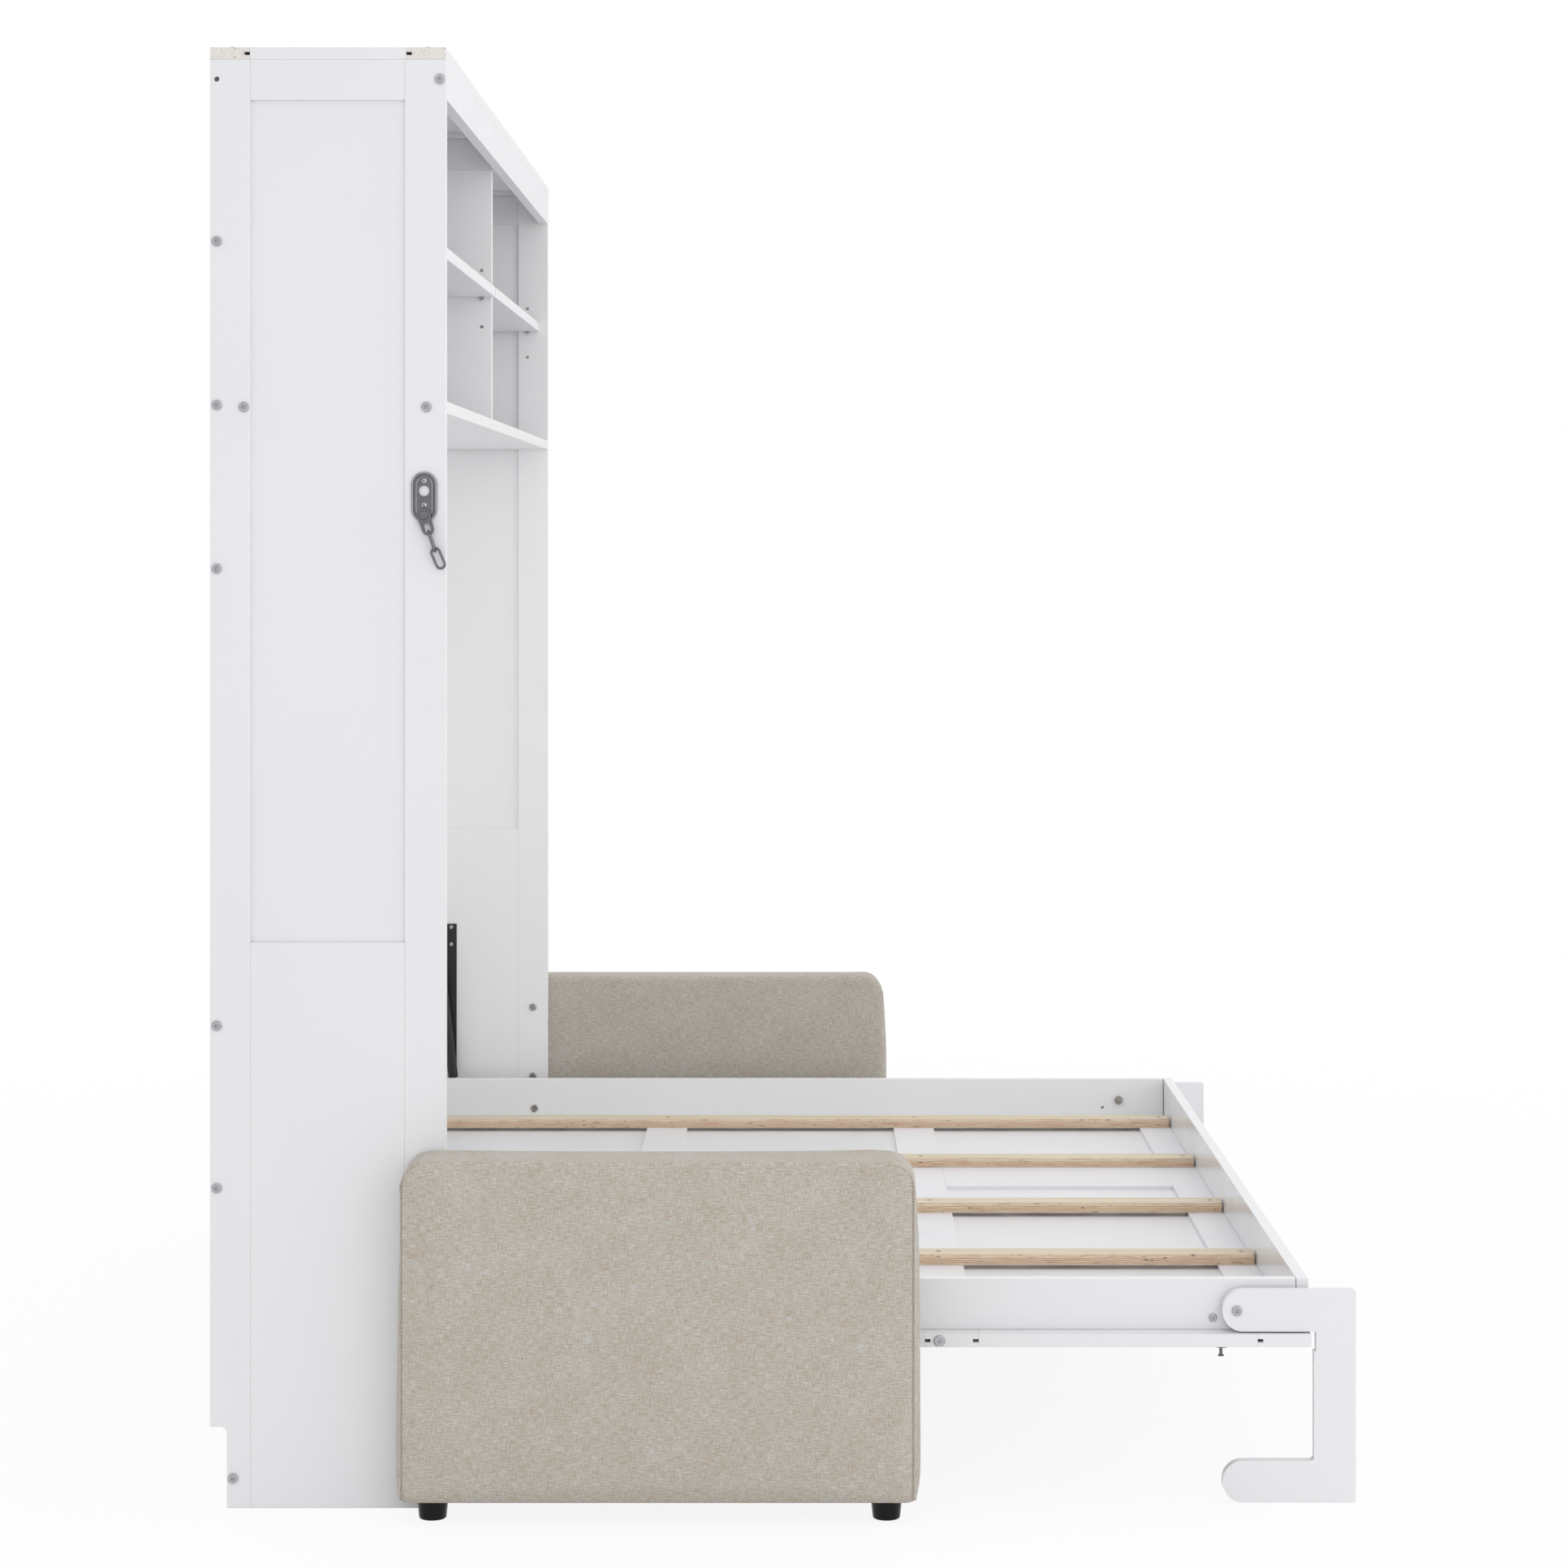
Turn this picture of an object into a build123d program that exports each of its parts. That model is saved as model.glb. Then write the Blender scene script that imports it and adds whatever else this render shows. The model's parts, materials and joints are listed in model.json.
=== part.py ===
from build123d import *
import math
import os

# A horizontal wall bed over a sofa, with the bed down. Sizes are in millimetres.
# X runs along the wall, Y towards the wall, Z up from the floor.
# A depth is measured back from the cabinet's front face and a reach is measured out from it.

# Cabinet
cabinet_width = 2204
cabinet_height = 2160
board = 18
edge_ease = 0.8
front_stile_width = 61
rear_stile_width = 60
side_rail_height = 60
side_field_thickness = 6
lower_field_height = 836
skirting_depth = 25
skirting_height = 120
skirting_fillet = 10
groove_height = 5
groove_depth = 8.5
tongue_gap = 0.5

# Top
top_stile_width = 59
top_rail_width = 60
fascia_height = 58
centre_rail_height = 55

# Shelves
shelf_over_bed = 45
upper_shelf_rise = 225
upper_shelf_setback = 18
back_bolt_rise = 254
shelf_bolt_rise = 12
board_bolt_inset = 40
divider_setback = 24
shelf_play = 0.5
pin_radius = 3
pin_length = 18
pin_grip = 8
pin_front_depth = 42
pin_row_pitch = 50

# Boards across the back
mid_rail_drop = 270
mid_rail_height = 80
lower_board_low = 433
lower_board_height = 320
floor_rail_height = 88
wall_hole_radius = 3.5
wall_hole_spacing = 812.8

# Bed
bed_length = 1563
bed_floor_gap = 11
bed_side_gap = 40
ledge_gap = 4.5
panel_thickness = 19
panel_stile_width = 80
panel_edge_width = 80
mullion_low = 200
mullion_width = 200
bed_rail_height = 76
rail_end_gap = 1
slat_width = 50
slat_thickness = 18
slat_count = 5
slat_left_gap = 3
slat_right_gap = 103
slat_end_gap = 3
stile_count = 4

# Fold pivot of the bed, in the cabinet's side
pivot_depth = 24
pivot_height = 267
pivot_below_ledge = 15
pivot_pin_radius = 7
pivot_boss_radius = 13
bushing_radius = 10
plate_thickness = 3
plate_front_depth = 3
plate_width = 46
plate_corner = 8
plate_height = 90
plate_screw_inset = 12
boss_clearance = 0.5
press_clearance = 0.05

# Folding legs
leg_board = 18
leg_width = 62
leg_ledge_gap = 2
leg_setback = 131
leg_pivot_setback = 110
leg_panel_gap = 5
leg_relief = 3
folded_leg_gap = 4
leg_washer = 8
leg_ledge_relief = (8, 2)
leg_corner = 4
leg_end_flat = 0.5
leg_play = 0.3
leg_nut_thickness = 6
leg_nut_lip = 1
leg_bolt_overrun = 8
stop_bolt_offset = 33
stop_bolt_head_radius = 6
ledge_bolt_offset = 58
ledge_bolt_length = 30
ledge_bolt_head_radius = 8.5
ledge_bolt_head_height = 2.5
leg_bolt_radius = 5
leg_spacer_radius = 12

# Gas struts, one each side, between the cabinet's side and the bed's rail
strut_lean = 36
strut_rise = 310
strut_foot_setback = 91
strut_foot_rise = 38
tube_radius = 10
tube_bore_radius = 8.5
rod_radius = 4
piston_height = 10
piston_rest = 18
tube_cap = 3
guide_height = 12
eye_radius = 9
eye_thickness = 12
eye_gap = 14
neck_radius = 5
foot_socket = 22
tube_fillet = 1.5
rod_end_gap = 6
piston_clearance = 0.1
stud_radius = 4
stud_overrun = 3
foot_stud_overrun = 2
stud_head_length = 2
stud_head_lip = 2
stud_flange_thickness = 3
stud_flange_lip = 4
stud_stop_gap = 0.5
crank_length = 100
crank_height = 44
crank_setback = 10
crank_rise = 2
crank_screw_inset = 12
crank_screw_rise = 12

# Steel channels that carry the struts
channel_offset = 7
channel_flange = 22
channel_box_width = 44
channel_box_height = 8
channel_over_rail = 17
channel_over_stud = 40
channel_sheet = 2
channel_screw_drops = (7, 42)
channel_screw_rise = 20
channel_screw_cover = 6

# Sofa arms
arm_thickness = 108
arm_gap = 0.3
arm_rear_depth = 66.6
arm_front_reach = 699
arm_height = 535
foot_height = 33
foot_radius = 23.5
foot_sole_radius = 20
foot_fillet = 3
foot_stud_radius = 4
arm_top_radius = 45
arm_bottom_radius = 15
arm_edge_radius = 10
arm_skin = 3
arm_frame_inset = 16
arm_frame_drop = 10
arm_base_inset = 14
foot_inboard = 54
rear_foot_depth = 14
front_foot_reach = 650

# Sofa seat, between the arms and under the bed
seat_front_reach = 640
seat_rear_reach = 20
seat_rail_low = 60
seat_under_bed = 21
seat_deck_thickness = 12
seat_pad_thickness = 50
seat_pad_overhang = 2
seat_side_gap = 3
seat_pad_radius = 12
seat_cross_count = 4
seat_foot_inset = 60
seat_bolt_reaches = (150, 500)

# Fasteners
bolt_head_radius = 7.5
bolt_head_height = 3
bolt_head_fillet = 1.2
bolt_shank_radius = 3
bolt_socket = 3
bolt_socket_depth = 1.6
bolt_length = 50
bore_clearance = 0.1
running_clearance = 0.06
screw_head_radius = 4
screw_head_height = 1.5
screw_shank_radius = 2
screw_length = 30
flat_head_radius = 4.5
flat_head_height = 2.5
flat_head_sink = 0.3
side_bolt_depth = 10
top_screw_front_depth = 27
top_screw_rear_inset = 32
screw_cover = 4
spare_hole_drop = 29
shelf_bolt_rear_inset = 50
shelf_bolt_front_depth = 29
arm_bolt_depth = 31
arm_bolt_heights = (326, 468)

# Chain guard on the left side
guard_height = 1495
guard_depth = 32
guard_length = 74
guard_width = 38
guard_thickness = 3
guard_rib = 1.2
guard_rim = 3
guard_hole_radius = 8
guard_hole_rise = 9
guard_rib_inset = 7.5
guard_screw_cover = 5
guard_screw_rises = (-12, 24)
rivet_drop = 27
rivet_standoff = 5
rivet_radius = 2.5
rivet_head_radius = 6.5
rivet_head_height = 2.6
rivet_head_sink = 0.6
rivet_head_fillet = 1.5
rivet_spacer_lip = 1
rivet_play = 0.3
hanger_thickness = 2
hanger_width = 20
hanger_length = 31
hanger_slot_width = 8
hanger_slot_length = 14
hanger_tip = 4
hanger_tip_narrowing = 1
hanger_tilt = 17
link_wire = 2
link_length = 35
link_width = 16.4
link_play = 0.15
link_tilts = (18, 23)
catch_inboard = 38
catch_setback = 133
catch_height = 14
catch_base = 2
catch_base_radius = 11
catch_stem_radius = 2.5
catch_head_radius = 4.5
catch_screw_length = 12

# Places worked out from the sizes above
half_width = cabinet_width / 2
side_inner = half_width - board
top_low = cabinet_height - board
panel_high = pivot_height - pivot_below_ledge
leg_pivot_height = panel_high + leg_ledge_gap + leg_width / 2
back_depth = pivot_depth + 2 * leg_pivot_height - pivot_height + folded_leg_gap
cabinet_depth = back_depth + board
bed_inside_cabinet = pivot_depth + pivot_height - bed_floor_gap
bed_reach = bed_length - bed_inside_cabinet
leg_front_reach = bed_reach + leg_panel_gap + leg_width
overall_depth = cabinet_depth + leg_front_reach
wall_y = overall_depth / 2
front_y = wall_y - cabinet_depth
panel_low = panel_high - panel_thickness
rail_high = panel_high + bed_rail_height
rail_outer = side_inner - bed_side_gap
rail_inner = rail_outer - board
ledge_outer = side_inner - ledge_gap
lower_shelf_low = pivot_height + pivot_depth + bed_reach + shelf_over_bed
lower_shelf_high = lower_shelf_low + board
upper_shelf_low = lower_shelf_high + upper_shelf_rise
mid_rail_low = lower_shelf_low - mid_rail_drop
stile_pitch = (bed_length - panel_stile_width) / (stile_count - 1)
strut_x = side_inner - bed_side_gap / 2
strut_foot_depth = bed_inside_cabinet - strut_foot_setback
strut_top_depth = strut_foot_depth + strut_lean
channel_depth = strut_top_depth + channel_offset - channel_box_width / 2 - channel_flange
strut_foot_height = panel_high + strut_foot_rise
strut_top_height = strut_foot_height + strut_rise
channel_low = rail_high + channel_over_rail
channel_high = strut_top_height + channel_over_stud
leg_pivot_reach = bed_reach - leg_pivot_setback
seat_high = panel_low - seat_under_bed - seat_pad_thickness - seat_deck_thickness
chain_x = half_width + guard_thickness + rivet_standoff + hanger_thickness / 2 + rivet_play
plain = (Align.CENTER, Align.CENTER, Align.MIN)
corner = (Align.MIN, Align.MIN, Align.MIN)


def depth(value):
    return front_y + value


def reach(value):
    return front_y - value


def block(x0, x1, y0, y1, z0, z1):
    return Pos(x0, y0, z0) * Box(x1 - x0, y1 - y0, z1 - z0, align=corner)


def eased(x0, x1, y0, y1, z0, z1):
    shape = block(x0, x1, y0, y1, z0, z1)
    return fillet(shape.edges(), edge_ease)


def rod_x(x0, x1, y, z, radius):
    return Pos(x0, y, z) * Rot(0, 90, 0) * Cylinder(radius, x1 - x0, align=plain)


def rod_z(x, y, z0, z1, radius):
    return Pos(x, y, z0) * Cylinder(radius, z1 - z0, align=plain)


def flipped(shape):
    return mirror(shape, about=Plane.YZ)


def both(shape):
    return [flipped(shape), shape]


def save(name, *shapes):
    solids = [solid for shape in shapes for solid in shape.solids()]
    whole = solids[0] if len(solids) == 1 else Compound(solids)
    export_step(whole, f"parts/{name}.step")


def save_pair(name, right):
    save(f"{name}_left", flipped(right))
    save(f"{name}_right", right)


def drilled(shape, holes):
    for hole in holes:
        shape = shape - hole
    return shape


# Fasteners stand with their head above Z = 0 and their shank below it
def bolt(length, head_radius=bolt_head_radius, shank_radius=bolt_shank_radius,
         head_height=bolt_head_height):
    head = Cylinder(head_radius, head_height, align=plain)
    head = fillet(head.edges().group_by(Axis.Z)[-1], bolt_head_fillet)
    socket = extrude(RegularPolygon(bolt_socket, 6), bolt_socket_depth)
    head = head - Pos(0, 0, head_height - bolt_socket_depth) * socket
    return head + Pos(0, 0, -length) * Cylinder(shank_radius, length, align=plain)


def screw(length=screw_length):
    head = Cylinder(screw_head_radius, screw_head_height, align=plain)
    head = fillet(head.edges().group_by(Axis.Z)[-1], screw_head_height / 2)
    return head + Pos(0, 0, -length) * Cylinder(screw_shank_radius, length, align=plain)


def facing(x, y, z, direction):
    return Plane(origin=(x, y, z), z_dir=direction).location


def bolt_bore(x, y, z, length, radius=bolt_shank_radius):
    return rod_x(x - length - 1, x + 1, y, z, radius + bore_clearance)


def screw_bore(place, length=screw_length):
    hole = Cylinder(screw_shank_radius + bore_clearance, length + 2, align=plain)
    return place * Pos(0, 0, -length - 1) * hole


# Screws whose heads are sunk below the surface
def flat_screw(length):
    low = -flat_head_sink - flat_head_height
    head = Pos(0, 0, low) * Cone(screw_shank_radius, flat_head_radius, flat_head_height, align=plain)
    return head + Pos(0, 0, -length) * Cylinder(screw_shank_radius, length + low + 1, align=plain)


def flat_bore(place, length):
    wide = flat_head_radius + bore_clearance
    low = -flat_head_sink - flat_head_height
    sunk = Pos(0, 0, low) * Cone(screw_shank_radius + bore_clearance, wide, flat_head_height, align=plain)
    mouth = Pos(0, 0, -flat_head_sink) * Cylinder(wide, flat_head_sink + 1, align=plain)
    return screw_bore(place, length) + place * (sunk + mouth)


# Bolt places in the right side, as depth and height
mid_shelf = lower_shelf_low + board / 2
rear_bolt_depth = cabinet_depth - side_bolt_depth
floor_bolt_depth = cabinet_depth - skirting_depth - board / 2
rear_bolts = [(rear_bolt_depth, height) for height in (
    lower_shelf_low + back_bolt_rise,
    lower_shelf_low + shelf_bolt_rise,
    mid_rail_low + mid_rail_height / 2,
    lower_board_low + lower_board_height - board_bolt_inset,
    lower_board_low + board_bolt_inset,
)] + [(floor_bolt_depth, floor_rail_height / 2)]
shelf_bolts = [(cabinet_depth - shelf_bolt_rear_inset, mid_shelf), (shelf_bolt_front_depth, mid_shelf)]
fascia_bolt = (board / 2, top_low - fascia_height / 2)
spare_hole = (rear_bolt_depth, top_low - spare_hole_drop)
side_bolts = rear_bolts + shelf_bolts + [fascia_bolt]
side_bores = [bolt_bore(half_width, depth(d), z, bolt_length) for d, z in side_bolts]
spare_bore = rod_x(side_inner - 1, half_width + 1, depth(spare_hole[0]), spare_hole[1], bolt_shank_radius + 1)
all_bores = side_bores + [flipped(bore) for bore in side_bores]
arm_bolt_length = 2 * board + arm_skin - 2
arm_bores = [rod_x(side_inner - 1, side_inner + arm_bolt_length + 1, depth(arm_bolt_depth), z,
                   bolt_shank_radius + bore_clearance) for z in arm_bolt_heights]

# Screws through the top into the sides, the divider rail and the guard plate's place
top_screw_depths = (top_screw_front_depth, cabinet_depth - top_screw_rear_inset)
top_screws = [facing(side_inner + board / 2, depth(d), cabinet_height, (0, 0, 1)) for d in top_screw_depths]
top_bores = [screw_bore(place) for place in top_screws]


# Cabinet sides
def front_stile():
    shape = eased(side_inner, half_width, depth(0), depth(front_stile_width), 0, top_low)
    return drilled(shape, side_bores + arm_bores + top_bores + pivot_screw_bores + shelf_pin_bores)


def rear_stile():
    shape = eased(side_inner, half_width, depth(cabinet_depth - rear_stile_width), wall_y, 0, top_low)
    notch = block(side_inner - 1, half_width + 1, depth(cabinet_depth - skirting_depth), wall_y + 1, -1,
                  skirting_height)
    inner = notch.edges().filter_by(Axis.X).sort_by(Axis.Z)[-2:].sort_by(Axis.Y)[0]
    notch = fillet(inner, skirting_fillet)
    return drilled(shape - notch, side_bores + top_bores + [spare_bore] + shelf_pin_bores + channel_bores)


def side_top_rail():
    return eased(side_inner, half_width, depth(front_stile_width), depth(cabinet_depth - rear_stile_width),
                 top_low - side_rail_height, top_low)


def upper_field():
    x0 = side_inner + (board - side_field_thickness) / 2
    return block(x0, x0 + side_field_thickness, depth(front_stile_width),
                 depth(cabinet_depth - rear_stile_width), lower_field_height, top_low - side_rail_height)


def lower_field():
    shape = eased(side_inner, half_width, depth(front_stile_width), depth(cabinet_depth - rear_stile_width),
                  0, lower_field_height)
    return drilled(shape, channel_bores)


# Top: two boards along its length with end grain at the sides, rails between them and two fields
def groove(side):
    inner = depth(top_stile_width) if side == "front" else depth(cabinet_depth - top_stile_width)
    low = inner - groove_depth if side == "front" else inner - 1
    middle = top_low + board / 2
    return block(-half_width - 1, half_width + 1, low, low + groove_depth + 1, middle - groove_height / 2,
                 middle + groove_height / 2)


def top_halves(y0, y1, side):
    halves = both(eased(0, half_width, y0, y1, top_low, cabinet_height))
    bores = top_bores + [flipped(bore) for bore in top_bores]
    return [drilled(half - groove(side), bores) for half in halves]


def top_rails():
    y0 = depth(top_stile_width)
    y1 = depth(cabinet_depth - top_stile_width)
    end = eased(half_width - top_rail_width, half_width, y0, y1, top_low, cabinet_height)
    centre = eased(0, top_rail_width, y0, y1, top_low, cabinet_height)
    return both(end) + both(centre)


def top_fields():
    middle = top_low + board / 2
    overlap = groove_depth - tongue_gap
    return both(block(top_rail_width, half_width - top_rail_width, depth(top_stile_width - overlap),
                      depth(cabinet_depth - top_stile_width + overlap), middle - groove_height / 2,
                      middle + groove_height / 2))


def fascia():
    shape = eased(-side_inner, side_inner, depth(0), depth(board), top_low - fascia_height, top_low)
    return drilled(shape, all_bores)


def centre_top_rail():
    low = top_low - centre_rail_height
    return eased(-board / 2, board / 2, depth(board), depth(back_depth), low, top_low)


# Boards across the back
def back_panels():
    half = eased(0, side_inner, depth(back_depth), wall_y, lower_shelf_low, top_low)
    return [drilled(piece, all_bores) for piece in both(half)]


def wall_holes():
    rows = (lower_board_low + lower_board_height / 2, mid_rail_low + mid_rail_height / 2)
    return [Pos(side * wall_hole_spacing / 2, wall_y - board / 2, z) * Rot(90, 0, 0)
            * Cylinder(wall_hole_radius, 2 * board) for side in (-1, 1) for z in rows]


def rear_board(low, height, y1):
    shape = eased(-side_inner, side_inner, y1 - board, y1, low, low + height)
    return drilled(shape, all_bores + wall_holes())


# Shelves
def pin_places(z):
    depths = (pin_front_depth, cabinet_depth - pin_front_depth)
    faces = [(side_inner, 1), (board / 2, -1)]
    return [(x, sign, depth(d), z) for x, sign in faces for d in depths]


def shelf_pin(x, sign, y, z):
    buried = x + sign * pin_grip
    proud = buried - sign * pin_length
    return rod_x(min(buried, proud), max(buried, proud), y, z, pin_radius)


def pin_bore(x, sign, y, z):
    buried = x + sign * (pin_grip + 0.5)
    return rod_x(min(buried, x - sign), max(buried, x - sign), y, z, pin_radius + bore_clearance)


pin_height = upper_shelf_low - pin_radius
pin_rows = (pin_height - pin_row_pitch, pin_height, pin_height + pin_row_pitch)
shelf_pin_bores = [pin_bore(*place) for z in pin_rows for place in pin_places(z)]


def shelf_pins():
    pins = [shelf_pin(*place) for place in pin_places(pin_height)]
    return pins + [flipped(pin) for pin in pins]


def divider():
    shape = eased(-board / 2, board / 2, depth(divider_setback), depth(back_depth), lower_shelf_high,
                  top_low - centre_rail_height)
    left_bores = [flipped(bore) for bore in shelf_pin_bores]
    return drilled(shape, shelf_pin_bores + left_bores)


def lower_shelf():
    shape = eased(-side_inner, side_inner, depth(0), depth(back_depth), lower_shelf_low, lower_shelf_high)
    return drilled(shape, all_bores)


def upper_shelf():
    return eased(board / 2 + shelf_play, side_inner - shelf_play, depth(upper_shelf_setback),
                 depth(back_depth), upper_shelf_low, upper_shelf_low + board)


# Pivot plates with the pins that the bed folds on
pivot_y = depth(pivot_depth)
pivot_screws = [facing(side_inner - plate_thickness, pivot_y, pivot_height + rise, (-1, 0, 0))
                for rise in (plate_screw_inset - plate_height / 2, plate_height / 2 - plate_screw_inset)]
pivot_screw_length = plate_thickness + board - screw_cover
pivot_screw_bores = [screw_bore(place, pivot_screw_length) for place in pivot_screws]


def pivot_plate():
    face = side_inner - plate_thickness
    shape = block(face, side_inner, depth(plate_front_depth), depth(plate_front_depth + plate_width),
                  pivot_height - plate_height / 2, pivot_height + plate_height / 2)
    shape = fillet(shape.edges().filter_by(Axis.X), plate_corner)
    boss = rod_x(rail_outer + boss_clearance, face, pivot_y, pivot_height, pivot_boss_radius)
    pin = rod_x(rail_inner, face, pivot_y, pivot_height, pivot_pin_radius)
    return drilled(shape, pivot_screw_bores) + boss + pin


# Steel channels on the sides' inner faces
channel_middle = channel_depth + channel_flange + channel_box_width / 2
channel_screw_heights = [channel_high - drop for drop in channel_screw_drops]
channel_screw_heights.append(channel_low + channel_screw_rise)
channel_screws = [facing(side_inner - channel_sheet, depth(d), z, (-1, 0, 0))
                  for d in (channel_depth + channel_flange / 2,
                            2 * channel_middle - channel_depth - channel_flange / 2)
                  for z in channel_screw_heights]
channel_screw_length = channel_sheet + board - channel_screw_cover
channel_bores = [screw_bore(place, channel_screw_length) for place in channel_screws]
channel_face = side_inner - channel_box_height + channel_sheet
stud_tip = strut_x - eye_thickness / 2 - stud_overrun
stud_y = depth(strut_top_depth)


def lift_channel():
    x = side_inner
    box = channel_depth + channel_flange
    flanges = block(x - channel_sheet, x, depth(channel_depth), depth(2 * channel_middle - channel_depth),
                    channel_low, channel_high)
    shell = block(x - channel_box_height, x, depth(box), depth(box + channel_box_width), channel_low,
                  channel_high)
    shell = fillet(shell.edges().filter_by(Axis.Z).group_by(Axis.X)[0], channel_sheet)
    hollow = block(channel_face, x + 1, depth(box + channel_sheet),
                   depth(box + channel_box_width - channel_sheet), channel_low - 1, channel_high + 1)
    stud_bore = rod_x(stud_tip, x, stud_y, strut_top_height, stud_radius + bore_clearance)
    return drilled(flanges + shell - hollow, channel_bores + [stud_bore])


def strut_stud():
    flange = rod_x(channel_face, channel_face + stud_flange_thickness, stud_y, strut_top_height,
                   stud_radius + stud_flange_lip)
    head = rod_x(stud_tip - stud_head_length, stud_tip, stud_y, strut_top_height, stud_radius + stud_head_lip)
    return flange + head + rod_x(stud_tip, channel_face, stud_y, strut_top_height, stud_radius)


# Sofa arms: a board frame with an upholstered body round it
arm_inner = half_width + arm_gap
arm_outer = half_width + arm_thickness
arm_y0 = reach(arm_front_reach)
arm_y1 = depth(arm_rear_depth)
frame_inner = half_width + arm_skin
frame_outer = frame_inner + board
base_outer = arm_outer - arm_base_inset
arm_frame_high = arm_height - arm_frame_inset - arm_frame_drop
feet = [(half_width + foot_inboard, y) for y in (depth(rear_foot_depth), reach(front_foot_reach))]
seat_bolt_height = (seat_rail_low + seat_high) / 2
seat_bores = [rod_x(half_width - board - 1, frame_outer + 1, reach(r), seat_bolt_height,
                    bolt_shank_radius + bore_clearance) for r in seat_bolt_reaches]
foot_bores = [rod_z(x, y, foot_height - 1, foot_height + board + 1,
                    foot_stud_radius + bore_clearance) for x, y in feet]


def arm_side_space():
    return block(frame_inner, frame_outer, arm_y0 + arm_frame_inset, arm_y1 - arm_frame_inset,
                 foot_height, arm_frame_high)


def arm_base_space():
    return block(frame_outer, base_outer, arm_y0 + arm_frame_inset, arm_y1 - arm_frame_inset,
                 foot_height, foot_height + board)


def arm_frame():
    side = drilled(arm_side_space(), arm_bores + seat_bores)
    return [side, drilled(arm_base_space(), foot_bores)]


def arm_body():
    shape = block(arm_inner, arm_outer, arm_y0, arm_y1, foot_height, arm_height)
    across = shape.edges().filter_by(Axis.X).group_by(Axis.Z)
    shape = fillet(across[-1], arm_top_radius)
    shape = fillet(shape.edges().filter_by(Axis.X).group_by(Axis.Z)[0], arm_bottom_radius)
    shape = fillet(shape.faces().sort_by(Axis.X)[-1].edges(), arm_edge_radius)
    pocket = block(frame_inner, frame_outer, arm_y0 + arm_frame_inset, arm_y1 - arm_frame_inset,
                   foot_height - 1, arm_frame_high)
    base = block(frame_outer - 1, base_outer, arm_y0 + arm_frame_inset, arm_y1 - arm_frame_inset,
                 foot_height - 1, foot_height + board)
    return drilled(shape - pocket - base, arm_bores + seat_bores)


def foot(x, y, height):
    shape = Pos(x, y, 0) * Cone(foot_sole_radius, foot_radius, height, align=plain)
    shape = fillet(shape.edges().group_by(Axis.Z)[0], foot_fillet)
    return shape


def arm_foot(x, y):
    stud = rod_z(x, y, foot_height, foot_height + board, foot_stud_radius)
    return foot(x, y, foot_height) + stud


# Sofa seat: rails between the arms' boards, a deck and a pad
seat_half = half_width
seat_y0 = reach(seat_front_reach)
seat_y1 = reach(seat_rear_reach)


def seat_frame():
    x1 = seat_half
    front = block(-x1, x1, seat_y0, seat_y0 + board, seat_rail_low, seat_high)
    rear = block(-x1, x1, seat_y1 - board, seat_y1, seat_rail_low, seat_high)
    pitch = (2 * x1 - board) / (seat_cross_count - 1)
    cross = [block(-x1 + pitch * i, -x1 + pitch * i + board, seat_y0 + board, seat_y1 - board, seat_rail_low,
                   seat_high) for i in range(seat_cross_count)]
    bores = seat_bores + [flipped(bore) for bore in seat_bores]
    return [front, rear] + [drilled(piece, bores) for piece in cross]


def seat_deck():
    return block(-seat_half, seat_half, seat_y0, seat_y1, seat_high, seat_high + seat_deck_thickness)


def seat_pad():
    low = seat_high + seat_deck_thickness
    half = seat_half - seat_side_gap
    shape = block(-half, half, seat_y0 - seat_pad_overhang, seat_y1, low, low + seat_pad_thickness)
    return fillet(shape.edges().group_by(Axis.Z)[-1], seat_pad_radius)


def seat_feet():
    rows = (seat_y0 + seat_foot_inset, seat_y1 - seat_foot_inset)
    pitch = (2 * seat_half - board) / (seat_cross_count - 1)
    x = pitch / 2
    return [foot(side * x, y, seat_rail_low) for side in (-1, 1) for y in rows]


# Bed, lying down
bed_y0 = reach(bed_reach)
bed_y1 = depth(bed_inside_cabinet)
panel_middle = panel_low + panel_thickness / 2
stile_fronts = [bed_y0 + stile_pitch * i for i in range(stile_count)]
stile_backs = [y + panel_stile_width for y in stile_fronts]
bays = list(zip(stile_backs[:-1], stile_fronts[1:]))
slat_first = slat_left_gap + slat_width / 2 - rail_inner
slat_last = rail_inner - slat_right_gap - slat_width / 2
slat_xs = [slat_first + (slat_last - slat_first) * i / (slat_count - 1) for i in range(slat_count)]
slat_high = panel_high + slat_thickness
slat_screw_length = slat_thickness + panel_thickness - screw_cover
slat_screw_places = [facing(x, y + panel_stile_width / 2, slat_high, (0, 0, 1))
                     for x in slat_xs for y in stile_fronts]
slat_screw_bores = [flat_bore(place, slat_screw_length) for place in slat_screw_places]
leg_pivot_y = reach(leg_pivot_reach)
leg_bore = rod_x(rail_inner - 1, rail_outer + 1, leg_pivot_y, leg_pivot_height,
                 leg_bolt_radius + bore_clearance)
bushing_bore = rod_x(rail_inner - 1, rail_outer + 1, pivot_y, pivot_height, bushing_radius + press_clearance)


def bed_rail():
    y0 = bed_y0 + board + rail_end_gap
    y1 = bed_y1 - board - rail_end_gap
    shape = eased(rail_inner, rail_outer, y0, y1, panel_high, rail_high)
    return drilled(shape, [leg_bore, bushing_bore, stop_bore] + crank_bores)


def end_board(y0):
    return eased(-rail_outer, rail_outer, y0, y0 + board, panel_high, rail_high)


def stile_groove(y):
    return block(-ledge_outer - 1, ledge_outer + 1, y, y + groove_depth, panel_middle - groove_height / 2,
                 panel_middle + groove_height / 2)


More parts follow.
